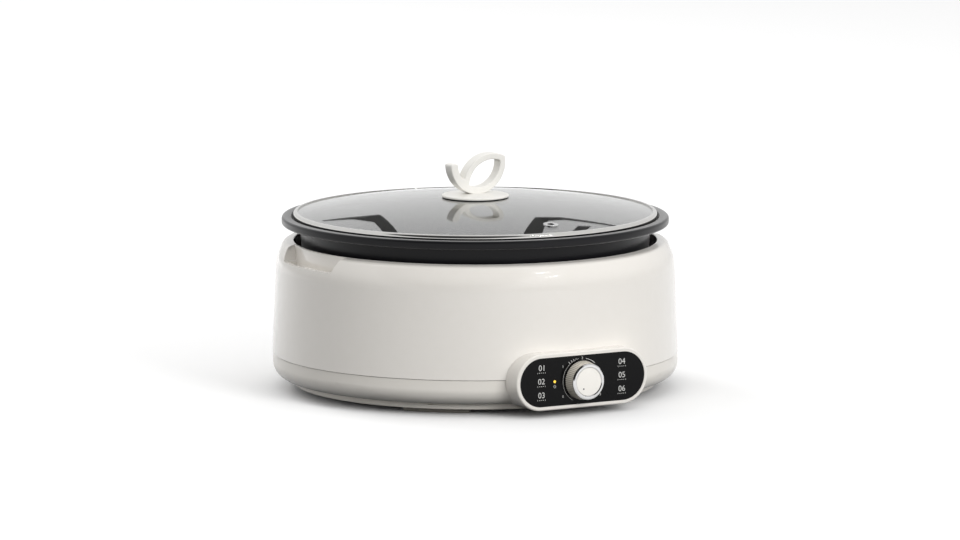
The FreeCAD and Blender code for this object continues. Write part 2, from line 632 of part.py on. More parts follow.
def upper_housing():
    """Drafted shell with a soft shoulder, a hanging collar and two finger recesses."""
    body = place(new_body("upper_housing"))
    waist_in, brow_in = shell_corners(1)
    waist_in["rounding"] = "waist_round - wall"
    brow_in["rounding"] = "brow_round - wall"
    spin(body, "shell", [
        corner(BODY_RADIUS, SEAM_TOP),
        corner(WAIST_RADIUS, WAIST_HEIGHT, "waist_round"),
        corner(BROW_RADIUS, BROW_HEIGHT, "brow_round"),
        corner(OPENING_RADIUS, "opening_height", "opening_round"),
        corner(OPENING_RADIUS, "opening_height - wall"),
        brow_in,
        waist_in,
        corner(f"{BODY_RADIUS} - wall", SEAM_TOP),
    ])
    waist_mid, brow_mid = shell_corners(OVERLAP)
    span = f"2 * asin((recess_half_width + recess_flare + 2 * wall) / {OPENING_RADIUS})"
    liner = spin(body, "recess_block", [
        corner(f"{OPENING_RADIUS} + wall / 2", f"{SCOOP_FLOOR} - wall"),
        corner(waist_mid["x"], f"{SCOOP_FLOOR} - wall"),
        waist_mid,
        brow_mid,
        corner(f"{OPENING_RADIUS} + wall / 2", "opening_height - wall / 2"),
    ], angle=span)
    repeat_round(body, "recess_blocks", [liner], "2")
    cut_recesses(body)
    spin(body, "collar", [
        corner(OPENING_RADIUS, COLLAR_BOTTOM),
        corner(COLLAR_OUTER, COLLAR_BOTTOM),
        corner(COLLAR_OUTER, f"opening_height - wall * {TOP_SLOPE}", "opening_round"),
        corner(OPENING_RADIUS, "opening_height", "opening_round"),
    ])
    pod_window(body, "pod_window")
    inlet_window(body)


def cut_recesses(body):
    """Cuts both recesses from the sides, with slanted ends, and scoops a gutter in their floors."""
    side = sketch_on(body, "YZ_Plane", "recess_outline")
    top = "opening_height + wall"
    spread = "recess_half_width + recess_flare * (lip_drop + wall) / lip_drop"
    outline(side, [
        corner("-1 * recess_half_width", LIP_HEIGHT, "recess_corner"),
        corner("recess_half_width", LIP_HEIGHT, "recess_corner"),
        corner(spread, top),
        corner(minus(spread), top),
    ])
    extrude(body, "recesses", side, f"2 * ({BODY_RADIUS} + wall)", cut=True, both=True)
    span = f"2 * asin((recess_half_width - recess_corner / 2) / {WAIST_RADIUS})"
    inner = COLLAR_OUTER
    outer = f"{WAIST_RADIUS} - 1.5 * wall"
    scoop = spin(body, "scoop", [
        corner(inner, f"{LIP_HEIGHT} + wall"),
        corner(inner, SCOOP_FLOOR, "scoop_round"),
        corner(f"{outer} - scoop_depth / 2", SCOOP_FLOOR, "scoop_round"),
        corner(outer, f"{LIP_HEIGHT} + wall"),
    ], cut=True, angle=span)
    repeat_round(body, "scoops", [scoop], "2")


def inlet_window(body):
    """A flat seat for the inlet's flange and the opening for its body."""
    back = sketch_on(body, "XZ_Plane", "inlet_seat_outline", offset=minus(INLET_SEAT))
    rectangle(back, "0", INLET_HEIGHT, "inlet_half_width + fit", "inlet_half_height + fit",
              "inlet_corner")
    extrude(body, "inlet_seat", back, "wall", cut=True, against=True)
    face = sketch_on(body, "XZ_Plane", "inlet_window_outline", offset=minus(f"{INLET_FACE} + wall"))
    rectangle(face, "0", INLET_HEIGHT, "inlet_half_width - inlet_edge + fit",
              "inlet_half_height - inlet_edge + fit", "inlet_corner")
    extrude(body, "inlet_window", face, "inlet_depth", cut=True)


def lower_housing():
    """Rounded belly with a centring tongue, screw bosses and an open floor."""
    body = place(new_body("lower_housing"))
    inside = f"{BELLY_RADIUS} - wall"
    tongue_inner = f"{TONGUE_OUTER} - tongue_wall"
    spin(body, "belly", [
        corner(BELLY_MOUTH, BELLY_HEIGHT),
        corner(BELLY_RADIUS, BELLY_HEIGHT, "belly_round"),
        corner(BELLY_RADIUS, "seam_height"),
        corner(TONGUE_OUTER, "seam_height"),
        corner(TONGUE_OUTER, "seam_height + tongue_height"),
        corner(tongue_inner, "seam_height + tongue_height"),
        corner(tongue_inner, "seam_height - tongue_height"),
        corner(inside, "seam_height - tongue_height"),
        corner(inside, BELLY_FLOOR, "belly_round - wall"),
        corner(BELLY_MOUTH, BELLY_FLOOR),
    ])
    foot = sketch_on(body, "XY_Plane", "boss_outline", offset=f"{BELLY_HEIGHT} + wall / 2")
    circle(foot, SCREW_CIRCLE, "0", "boss_radius")
    boss = extrude(body, "boss", foot, "boss_height + wall / 2")
    repeat_round(body, "bosses", [boss], "4")
    mouth = sketch_on(body, "XY_Plane", "boss_hole_outline", offset=f"{BELLY_HEIGHT} - wall")
    circle(mouth, SCREW_CIRCLE, "0", THREAD_HOLE)
    hole = extrude(body, "boss_hole", mouth, "boss_height + wall", cut=True)
    repeat_round(body, "boss_holes", [hole], "4")
    pod_window(body, "pod_window")


def base_cover():
    """Plinth that closes the base: air slots, foot seats, snap notches and posts for the plate."""
    body = place(new_body("base_cover"))
    spigot = f"{BELLY_MOUTH} - fit"
    land = f"{PLINTH_RADIUS} - groove_depth"
    spin(body, "plinth", [
        corner("0", "foot_height"),
        corner(PLINTH_RADIUS, "foot_height", "plinth_round"),
        corner(PLINTH_RADIUS, PLINTH_TOP, "plinth_round"),
        corner(land, PLINTH_TOP),
        corner(land, BELLY_HEIGHT),
        corner(spigot, BELLY_HEIGHT),
        corner(spigot, f"{BELLY_HEIGHT} + spigot_height"),
        corner(f"{spigot} - wall", f"{BELLY_HEIGHT} + spigot_height"),
        corner(f"{spigot} - wall", COVER_FLOOR),
        corner("0", COVER_FLOOR),
    ])
    base = sketch_on(body, "XY_Plane", "post_outline", offset="foot_height + cover_floor / 2")
    circle(base, "0", POST_CIRCLE, "boss_radius")
    post = extrude(body, "post", base, f"{LINER_UNDER} - foot_height - cover_floor / 2")
    repeat_round(body, "posts", [post], "3")
    screw_holes(body, "post", "0", POST_CIRCLE, "3", LINER_UNDER)
    screw_holes(body, "cover", SCREW_CIRCLE, "0", "4", BELLY_HEIGHT)
    slot = sketch_on(body, "XY_Plane", "slot_outline", offset="foot_height - wall")
    stadium(slot, f"({VENT_START} + {VENT_END}) / 2", "0", f"({VENT_END} - {VENT_START} - vent_width) / 2",
            "vent_width / 2")
    vent = extrude(body, "slot", slot, "2 * wall + cover_floor", cut=True)
    repeat_round(body, "slots", [vent], "vent_count")
    for name, angle in FEET:
        spin(body, f"{name}_seat", [
            corner(f"{FOOT_OUTER} - foot_width - fit", "foot_height - wall"),
            corner(f"{FOOT_OUTER} + fit", "foot_height - wall"),
            corner(f"{FOOT_OUTER} + fit", "foot_height + foot_seat"),
            corner(f"{FOOT_OUTER} - foot_width - fit", "foot_height + foot_seat"),
        ], cut=True, angle="foot_span + fit", turn=angle)
        spin(body, f"{name}_notch", [
            corner(f"{PLINTH_RADIUS} - wall", f"{PLINTH_TOP} - notch_height"),
            corner(f"{PLINTH_RADIUS} + wall", f"{PLINTH_TOP} - notch_height"),
            corner(f"{PLINTH_RADIUS} + wall", f"{PLINTH_TOP} + notch_height"),
            corner(f"{PLINTH_RADIUS} - wall", f"{PLINTH_TOP} + notch_height"),
        ], cut=True, angle="notch_span", turn=angle)


def screw_holes(body, name, x, y, count, top):
    """Plain holes with counterbores from below, round the axis."""
    mouth = sketch_on(body, "XY_Plane", f"{name}_hole_outline", offset="foot_height - wall")
    circle(mouth, x, y, PLAIN_HOLE)
    hole = extrude(body, f"{name}_hole", mouth, f"{top} - foot_height + 2 * wall", cut=True)
    repeat_round(body, f"{name}_holes", [hole], count)
    sink = sketch_on(body, "XY_Plane", f"{name}_sink_outline", offset="foot_height - wall")
    circle(sink, x, y, "screw_head + fit")
    bore = extrude(body, f"{name}_sink", sink, "head_sink + wall", cut=True)
    repeat_round(body, f"{name}_sinks", [bore], count)


# A foot's place, in degrees from +X towards +Y.
FEET = (
    ("foot_front_left", "270 - foot_angle"),
    ("foot_front_right", "270 + foot_angle"),
    ("foot_rear_left", "90 + foot_angle"),
    ("foot_rear_right", "90 - foot_angle"),
)


def feet():
    """Four curved rubber pads let into the underside of the base."""
    for name, angle in FEET:
        body = place(new_body(name))
        inner = f"{FOOT_OUTER} - foot_width"
        spin(body, "pad", [
            corner(inner, "0", "foot_round"),
            corner(FOOT_OUTER, "0", "foot_round"),
            corner(FOOT_OUTER, "foot_height + foot_seat"),
            corner(inner, "foot_height + foot_seat"),
        ], angle="foot_span", turn=angle)


def screws(label, x, y, count, tip):
    """A ring of identical pan-head screws, driven upwards into their bosses."""
    body = place(new_body(label))
    body.AllowCompound = True
    head = sketch_on(body, "XY_Plane", "head_outline", offset=f"{SCREW_SEAT} - head_height")
    circle(head, x, y, "screw_head")
    heads = extrude(body, "head", head, "head_height")
    shank = sketch_on(body, "XY_Plane", "shank_outline", offset=f"{SCREW_SEAT} - head_height / 2")
    circle(shank, x, y, "screw_radius")
    shanks = extrude(body, "shank", shank, f"{tip} - ({SCREW_SEAT}) + head_height / 2")
    repeat_round(body, "ring", [heads, shanks], count)


# Well, heating plate and sensor -----------------------------------------------------------------


def well_liner():
    """Sheet-metal well that hangs from the collar and reflects the plate's heat."""
    body = place(new_body("well_liner"))
    spin(body, "dish", [
        corner("guide_bore", LINER_UNDER),
        corner(f"{LINER_BASE} + liner_sheet", LINER_UNDER, "liner_round + liner_sheet"),
        corner(f"{LINER_MOUTH} + liner_sheet", f"{COLLAR_BOTTOM} - liner_sheet"),
        corner(LINER_FLANGE, f"{COLLAR_BOTTOM} - liner_sheet"),
        corner(LINER_FLANGE, COLLAR_BOTTOM),
        corner(LINER_MOUTH, COLLAR_BOTTOM),
        corner(LINER_BASE, LINER_FLOOR, "liner_round"),
        corner("guide_bore", LINER_FLOOR),
    ])
    low = f"{LINER_UNDER} - liner_sheet"
    mount = sketch_on(body, "XY_Plane", "mount_hole_outline", offset=low)
    circle(mount, "0", POST_CIRCLE, PLAIN_HOLE)
    hole = extrude(body, "mount_hole", mount, "3 * liner_sheet", cut=True)
    repeat_round(body, "mount_holes", [hole], "3")
    for side, sign in (("left", "-1"), ("right", "1")):
        pin = sketch_on(body, "XY_Plane", f"pin_hole_{side}_outline", offset=low)
        circle(pin, PIN_X, f"{sign} * {PIN_Y}", "2 * pin_radius")
        extrude(body, f"pin_hole_{side}", pin, "3 * liner_sheet", cut=True)


def heating_plate():
    """Cast plate with a centre hole, screw bosses and a groove for the tubular element."""
    body = place(new_body("heating_plate"))
    spin(body, "disc", [
        corner(PLATE_HOLE, PLATE_UNDER),
        corner("plate_radius", PLATE_UNDER, "wall / 2"),
        corner("plate_radius", PLATE_TOP, "wall / 2"),
        corner(PLATE_HOLE, PLATE_TOP),
    ])
    foot = sketch_on(body, "XY_Plane", "boss_outline", offset=LINER_FLOOR)
    circle(foot, "0", POST_CIRCLE, "boss_radius")
    boss = extrude(body, "boss", foot, f"{PLATE_UNDER} - {LINER_FLOOR} + plate_thick / 2")
    repeat_round(body, "bosses", [boss], "3")
    mouth = sketch_on(body, "XY_Plane", "thread_outline", offset=f"{LINER_FLOOR} - liner_sheet")
    circle(mouth, "0", POST_CIRCLE, THREAD_HOLE)
    thread = extrude(body, "thread", mouth, f"{THREAD_TOP} - {LINER_FLOOR} + liner_sheet", cut=True)
    repeat_round(body, "threads", [thread], "3")
    reach = "element_radius + bite"
    groove = sketch_on(body, "XZ_Plane", "groove_outline")
    circle(groove, ELEMENT_CIRCLE, PLATE_UNDER, reach)
    cut = body.newObject("PartDesign::Groove", "element_groove")
    cut.Profile = groove
    cut.ReferenceAxis = (groove, ["V_Axis"])
    cut.Angle = 360
    finish(body, cut)


def heating_element():
    """Tubular element bent into an open ring, with a connecting pin at each end."""
    body = place(new_body("heating_element"))
    ring = sketch_on(body, "XZ_Plane", "tube_outline", turn="180")
    circle(ring, ELEMENT_CIRCLE, PLATE_UNDER, "element_radius")
    tube = body.newObject("PartDesign::Revolution", "tube")
    tube.Profile = ring
    tube.ReferenceAxis = (ring, ["V_Axis"])
    tube.Midplane = True
    tube.Angle = 360 - number("element_open")
    tube.setExpression("Angle", named("360 - element_open"))
    finish(body, tube)
    for side, sign in (("left", "-1"), ("right", "1")):
        pin = sketch_on(body, "XY_Plane", f"pin_{side}_outline", offset=f"{PLATE_UNDER} - pin_drop")
        circle(pin, PIN_X, f"{sign} * {PIN_Y}", "pin_radius")
        extrude(body, f"pin_{side}", pin, "pin_drop")


def thermal_fuse():
    """Capsule that lies against the plate's underside."""
    body = place(new_body("thermal_fuse"), x=minus("fuse_offset"),
                 z=f"{PLATE_UNDER} - fuse_radius - bite")
    end = sketch_on(body, "XZ_Plane", "capsule_outline")
    circle(end, "0", "0", "fuse_radius")
    extrude(body, "capsule", end, "fuse_length", both=True)


def sensor():
    """Cup pressed against the pot by a coil spring round a guide tube."""
    cup = place(new_body("sensor_cup"))
    inner = "sensor_radius - sensor_skin"
    ceiling = f"{PLATE_TOP} - sensor_skin"
    spin(cup, "cup", [
        corner("0", ceiling),
        corner(inner, ceiling),
        corner(inner, f"{PLATE_TOP} - sensor_height"),
        corner("sensor_radius", f"{PLATE_TOP} - sensor_height"),
        corner("sensor_radius", PLATE_TOP, "sensor_skin"),
        corner("0", PLATE_TOP),
    ])
    guide = place(new_body("sensor_guide"))
    spin(guide, "tube", [
        corner("guide_bore", LINER_FLOOR),
        corner("guide_radius", LINER_FLOOR),
        corner("guide_radius", f"{LINER_FLOOR} + guide_height"),
        corner("guide_bore", f"{LINER_FLOOR} + guide_height"),
    ])
    coil = place(new_body("sensor_spring"), z=f"{LINER_FLOOR} + coil_wire + fit")
    height = f"{ceiling} - {LINER_FLOOR} - 2 * coil_wire - 2 * fit"
    wire = sketch_on(coil, "XZ_Plane", "wire_outline")
    circle(wire, "coil_radius", "0", "coil_wire")
    helix = coil.newObject("PartDesign::AdditiveHelix", "coil")
    helix.Profile = wire
    helix.ReferenceAxis = (wire, ["V_Axis"])
    helix.Mode = "height-turns-angle"
    helix.Height = number(height)
    helix.setExpression("Height", named(height))
    helix.Turns = number("coil_turns")
    helix.setExpression("Turns", named("coil_turns"))
    finish(coil, helix)


# Cooking pot and lid ----------------------------------------------------------------------------


def cooking_pot():
    """Cast pot: rounded floor, tapered wall, a wide rim and a ledge for the lid."""
    body = place(new_body("cooking_pot"))
    inner_neck = "pot_neck - pot_wall"
    spin(body, "pot", [
        corner("0", POT_BOTTOM),
        corner(POT_BASE, POT_BOTTOM, "pot_round"),
        corner("pot_neck", RIM_BOTTOM, "pot_wall"),
        corner(RIM_RADIUS, RIM_BOTTOM, "rim_round"),
        corner(RIM_RADIUS, RIM_TOP, "rim_round"),
        corner(RIM_INNER, RIM_TOP, "opening_round"),
        corner(RIM_INNER, SEAT_HEIGHT),
        corner(f"{inner_neck} + opening_round", SEAT_HEIGHT, "opening_round"),
        corner(f"{POT_BASE} - pot_wall", f"{POT_BOTTOM} + pot_wall", "pot_round - pot_wall"),
        corner("0", f"{POT_BOTTOM} + pot_wall"),
    ])


def lid_rim():
    """Rolled steel ring that holds the glass between two lips and drops into the pot's rim."""
    body = place(new_body("lid_rim"))
    inside = f"{RING_RADIUS} - ring_sheet"
    spin(body, "ring", [
        corner(RING_RADIUS, f"{SEAT_HEIGHT} + stand_off"),
        corner(RING_RADIUS, RING_TOP, "ring_round"),
        corner(RING_INNER, RING_TOP),
        corner(RING_INNER, GLASS_TOP),
        corner(inside, GLASS_TOP),
        corner(inside, GLASS_LOW),
        corner(RING_INNER, GLASS_LOW),
        corner(RING_INNER, f"{GLASS_LOW} - ring_sheet"),
        corner(inside, f"{GLASS_LOW} - ring_sheet"),
        corner(inside, f"{SEAT_HEIGHT} + stand_off"),
    ])


def lid_glass():
    """Domed tempered glass with a flat edge, a screw hole and a steam hole."""
    body = place(new_body("lid_glass"))
    edge = f"{RING_RADIUS} - ring_sheet - glass_play"
    spin(body, "dome", [
        corner("0", f"{CROWN} - glass_thick", arc=minus(INNER_DOME)),
        corner(f"sqrt(2 * {INNER_DOME} * dome_rise - dome_rise * dome_rise)", GLASS_LOW),
        corner(edge, GLASS_LOW),
        corner(edge, GLASS_TOP),
        corner(DOME_EDGE, GLASS_TOP, arc=DOME_RADIUS),
        corner("0", CROWN),
    ])
    middle = sketch_on(body, "XY_Plane", "screw_hole_outline", offset=GLASS_LOW)
    circle(middle, "0", "0", "bolt_radius + eyelet_play")
    extrude(body, "screw_hole", middle, "dome_rise + 2 * glass_thick", cut=True)
    front = sketch_on(body, "XY_Plane", "steam_hole_outline", offset=GLASS_LOW)
    circle(front, "0", minus(VENT_RADIUS), "eyelet_barrel + eyelet_play")
    extrude(body, "steam_hole", front, "dome_rise + 2 * glass_thick", cut=True)


def vent_eyelet():
    """Rolled steel eyelet that lines the steam hole, square to the dome there."""
    drop = f"sqrt({DOME_RADIUS} * {DOME_RADIUS} - {VENT_RADIUS} * {VENT_RADIUS})"
    height = f"{CROWN} - {DOME_RADIUS} + {drop}"
    body = place(new_body("vent_eyelet"), y=f"{AXIS_Y} - {VENT_RADIUS}", z=height,
                 axis=Vector(1, 0, 0), angle=f"asin({VENT_RADIUS} / ({DOME_RADIUS}))")
    under = "-1 * glass_thick - glass_play"
    spin(body, "eyelet", [
        corner("vent_hole", f"{under} - eyelet_sheet"),
        corner("eyelet_radius - eyelet_sheet", f"{under} - eyelet_sheet"),
        corner("eyelet_radius - eyelet_sheet", under),
        corner("eyelet_barrel", under),
        corner("eyelet_barrel", "bite"),
        corner("eyelet_radius", "bite"),
        corner("eyelet_radius", "bite + eyelet_sheet", "eyelet_sheet / 2"),
        corner("vent_hole", "bite + eyelet_sheet", "eyelet_sheet / 2"),
    ])


def lid_fixing():
    """Screw and silicone washer that hold the lid's knob through the glass."""
    under = f"{CROWN} - glass_thick - glass_play"
    washer = place(new_body("lid_washer"))
    spin(washer, "washer", [
        corner("bolt_radius + hole_ease", f"{under} - washer_thick"),
        corner("washer_radius", f"{under} - washer_thick"),
        corner("washer_radius", under),
        corner("bolt_radius + hole_ease", under),
    ])
    seat = f"{under} - washer_thick"
    bolt = place(new_body("lid_screw"))
    spin(bolt, "screw", [
        corner("0", f"{seat} - bolt_head_height"),
        corner("bolt_head", f"{seat} - bolt_head_height", "bolt_head_height / 2"),
        corner("bolt_head", seat),
        corner("bolt_radius", seat),
        corner("bolt_radius", f"{DISC_TOP} + bolt_grip"),
        corner("0", f"{DISC_TOP} + bolt_grip"),
    ])


def lid_knob_base():
    """Shallow disc between the glass and the loop."""
    body = place(new_body("lid_knob_base"))
    spin(body, "disc", [
        corner("bolt_radius + hole_ease", DISC_BOTTOM),
        corner("disc_radius", DISC_BOTTOM, "disc_edge / 4"),
        corner("disc_radius", f"{DISC_BOTTOM} + disc_edge", "disc_edge / 2"),
        corner("disc_crown", DISC_TOP, "disc_radius / 2"),
        corner("bolt_radius + hole_ease", DISC_TOP),
    ])


def loop_handle():
    """Leaf-shaped ribbon: a long bow that ends in a free horn, and a short bow over it."""
    body = place(new_body("loop_handle"), z=DISC_TOP)
    long_bow = sketch_on(body, "XZ_Plane", "long_bow_outline")

    def across(radius, rise):
        """Half the chord of one of the long bow's circles at a height above the disc."""
        return f"sqrt({radius} * {radius} - ({BOW_RISE} - {rise}) * ({BOW_RISE} - {rise}))"

    outline(long_bow, [
        corner(across("bow_outer", BOW_TIP), BOW_TIP, arc=minus("bow_outer")),
        corner("0", f"{BOW_RISE} - bow_outer", arc=minus("bow_outer")),
        corner(minus(across("bow_outer", HORN_TIP)), HORN_TIP),
        corner(f"bow_shift - {across(BOW_INNER, HORN_TIP)}", HORN_TIP, arc=BOW_INNER),
        corner("bow_shift", f"{BOW_RISE} - {BOW_INNER}", arc=BOW_INNER),
        corner(f"bow_shift + {across(BOW_INNER, BOW_TIP)}", BOW_TIP),
    ])
    extrude(body, "long_bow", long_bow, "ribbon_width", both=True)
    short_bow = sketch_on(body, "XZ_Plane", "short_bow_outline")

    def on_leaf(radius, angle):
        """A point of the short bow's circles."""
        return f"leaf_offset + {radius} * cos({angle})", f"leaf_rise + {radius} * sin({angle})"

    outline(short_bow, [
        corner(across("bow_outer", BOW_TIP), BOW_TIP, arc="leaf_outer"),
        corner(*on_leaf("leaf_outer", "leaf_end_angle")),
        corner(*on_leaf(LEAF_INNER, "leaf_end_angle"), arc=minus(LEAF_INNER)),
        corner(*on_leaf(LEAF_INNER, "leaf_start_angle")),
    ])
    bows = extrude(body, "short_bow", short_bow, "ribbon_width", both=True)
    horn_top = number(HORN_TIP)

    def on_horn(edge):
        """Whether an edge runs from front to back at the horn's end."""
        middle = edge.CenterOfMass
        return abs(middle.y) < TINY and middle.x < 0 and abs(middle.z - horn_top) < TINY

    def on_joint(edge):
        """Whether an edge runs from front to back where the bows meet."""
        middle = edge.CenterOfMass
        return abs(middle.y) < TINY and abs(middle.x) > TINY and not on_horn(edge)

    joints = round_edges(body, "soft_joints", bows, "joint_round", on_joint)
    horn = round_edges(body, "horn_end", joints, "horn_round", on_horn)
    side = number("ribbon_width") / 2

    def on_side(edge):
        """Whether an edge runs round the front or the back of the ribbon."""
        return all(abs(abs(point.Y) - side) < TINY for point in edge.Vertexes)

    round_edges(body, "soft_edges", horn, "ribbon_round", on_side)
    foot = sketch_on(body, "XY_Plane", "foot_outline")
    rectangle(foot, "0", "0", BOW_INNER, "ribbon_width")
    extrude(body, "flat_foot", foot, f"bow_outer - {BOW_RISE} + fit", cut=True, against=True)
    socket = sketch_on(body, "XY_Plane", "socket_outline", offset="-1 * fit")
    circle(socket, "0", "0", "bolt_radius + bite")
    extrude(body, "socket", socket, "bolt_grip + 2 * fit", cut=True)


# Control pod, switch and knob -------------------------------------------------------------------


def control_pod():
    """Stadium-shaped pod that hugs both housings, with a sleeve and a rim round the glass."""
    body = place(new_body("control_pod"))
    block = sketch_on(body, "XZ_Plane", "block_outline", offset=SLEEVE_BACK)
    stadium(block, "0", PANEL_HEIGHT, "panel_reach", BEZEL_CORNER)
    extrude(body, "block", block, f"{BEZEL_FACE} - {SLEEVE_BACK}")
    spin(body, "housing_hollow", [
        corner("0", f"{BELLY_HEIGHT} - fit"),
        corner(f"{BELLY_RADIUS} + fit", f"{BELLY_HEIGHT} - fit", "belly_round + fit"),
        corner(f"{BODY_RADIUS} + fit", SEAM_TOP),
        corner(f"{WAIST_RADIUS} + fit", WAIST_HEIGHT),
        corner("0", WAIST_HEIGHT),
    ], cut=True)
    spin(body, "plinth_hollow", [
        corner("0", "foot_height - wall"),
        corner(f"{PLINTH_RADIUS} + pod_gap", "foot_height - wall"),
        corner(f"{PLINTH_RADIUS} + pod_gap", BELLY_HEIGHT),
        corner("0", BELLY_HEIGHT),
    ], cut=True)
    sleeve = sketch_on(body, "XZ_Plane", "sleeve_outline", offset=SLEEVE_BACK)
    stadium(sleeve, "0", PANEL_HEIGHT, "panel_reach", "sleeve_corner")
    extrude(body, "sleeve", sleeve, f"{GLASS_SEAT} - {SLEEVE_BACK}")
    hollow = sketch_on(body, "XZ_Plane", "hollow_outline", offset=f"{SLEEVE_BACK} - wall")
    stadium(hollow, "0", PANEL_HEIGHT, "panel_reach", "sleeve_corner - sleeve_wall")
    extrude(body, "hollow", hollow, f"{WEB_BACK} - {SLEEVE_BACK} + wall", cut=True)
    seat = sketch_on(body, "XZ_Plane", "glass_seat_outline", offset=f"{BEZEL_FACE} + wall")
    stadium(seat, "0", PANEL_HEIGHT, "panel_reach", "panel_corner + glass_play")
    extrude(body, "glass_seat", seat, f"{BEZEL_FACE} + wall - ({GLASS_SEAT})", cut=True,
            against=True)
    panel_holes(body)
    for side, x in (("left", f"pillar_radius * 2 - {BOARD_LEFT}"),
                    ("right", "-1 * board_right - pillar_radius * 2")):
        pillar = sketch_on(body, "XZ_Plane", f"pillar_{side}_outline", offset=BOARD_FACE)
        circle(pillar, x, PANEL_HEIGHT, "pillar_radius")
        last = extrude(body, f"pillar_{side}", pillar, "board_gap + web_thick / 2")
    front = number(BEZEL_FACE)
    middle, reach = number(PANEL_HEIGHT), number(BEZEL_CORNER)

    def on_rim(edge):
        """Whether an edge is part of the pod's outline at its front."""
        return all(
            abs(point.Y + front) < TINY and abs(abs(point.Z - middle) - reach) < TINY
            for point in edge.Vertexes
        )

    round_edges(body, "soft_rim", last, "bezel_round", on_rim)


def panel_holes(body):
    """Holes for the switch's bush and for the light guide, through the web and the glass."""
    for name, x, z, radius in (
        ("bush", "0", KNOB_HEIGHT, "bush_radius + bush_play"),
        ("lamp", "-1 * lamp_offset", PANEL_HEIGHT, "lamp_radius + lamp_play"),
    ):
        face = sketch_on(body, "XZ_Plane", f"{name}_hole_outline", offset=f"{BEZEL_FACE} + wall")
        circle(face, x, z, radius)
        depth = f"{BEZEL_FACE} + wall - ({WEB_BACK}) + fit"
        extrude(body, f"{name}_hole", face, depth, cut=True, against=True)


def panel_glass():
    """Black glass that carries the dial and lets the shaft and the lamp through."""
    body = place(new_body("panel_glass"))
    face = sketch_on(body, "XZ_Plane", "glass_outline", offset=GLASS_SEAT)
    stadium(face, "0", PANEL_HEIGHT, "panel_reach", "panel_corner")
    extrude(body, "glass", face, "panel_thick")
    panel_holes(body)


def control_board():
    """Circuit board on the pod's pillars, with its relay, and the light guide before its lamp."""
    body = place(new_body("control_board"))
    middle = f"-1 * ({BOARD_LEFT} + board_right) / 2"
    sheet = sketch_on(body, "XZ_Plane", "board_outline", offset=f"{BOARD_FACE} - board_thick")
    rectangle(sheet, middle, PANEL_HEIGHT, f"({BOARD_LEFT} - board_right) / 2", "board_half")
    extrude(body, "board", sheet, "board_thick")
    relay = sketch_on(body, "XZ_Plane", "relay_outline",
                      offset=f"{BOARD_FACE} - board_thick - relay_depth")
    rectangle(relay, middle, PANEL_HEIGHT, "relay_width / 2", "relay_height / 2")
    extrude(body, "relay", relay, "relay_depth + board_thick / 2")
    lens = place(new_body("indicator_lens"))
    end = sketch_on(lens, "XZ_Plane", "lens_outline", offset=f"{BOARD_FACE} + bite")
    circle(end, "-1 * lamp_offset", PANEL_HEIGHT, "lamp_radius")
    extrude(lens, "lens", end, f"{PANEL_FACE} - ({BOARD_FACE}) - bite")


def rotary_switch():
    """Switch case behind the web, with a bush for the shaft and three lugs."""
    body = facing_front(new_body("rotary_switch"), WEB_BACK, KNOB_HEIGHT)
    case = sketch_on(body, "XY_Plane", "case_outline", offset="-1 * switch_depth")
    rectangle(case, "0", "0", "switch_half", "switch_half", "wall")
    extrude(body, "case", case, "switch_depth")
    front = "web_thick + panel_thick - knob_gap"
    bush = sketch_on(body, "XY_Plane", "bush_outline", offset="-1 * web_thick")
    circle(bush, "0", "0", "bush_radius")
    extrude(body, "bush", bush, f"{front} + web_thick")
    bore = sketch_on(body, "XY_Plane", "bore_outline", offset=f"{front} + fit")
    circle(bore, "0", "0", "shaft_radius + shaft_play")
    extrude(body, "bore", bore, f"{front} + fit + shaft_back + knob_gap", cut=True, against=True)
    for name, x in (("left", "-1 * switch_half / 2"), ("middle", "0"), ("right", "switch_half / 2")):
        lug = sketch_on(body, "XY_Plane", f"lug_{name}_outline", offset="-1 * switch_depth - lug_length")
        rectangle(lug, x, "0", "lug_thick / 2", "lug_width / 2")
        extrude(body, f"lug_{name}", lug, "lug_length + lug_thick")


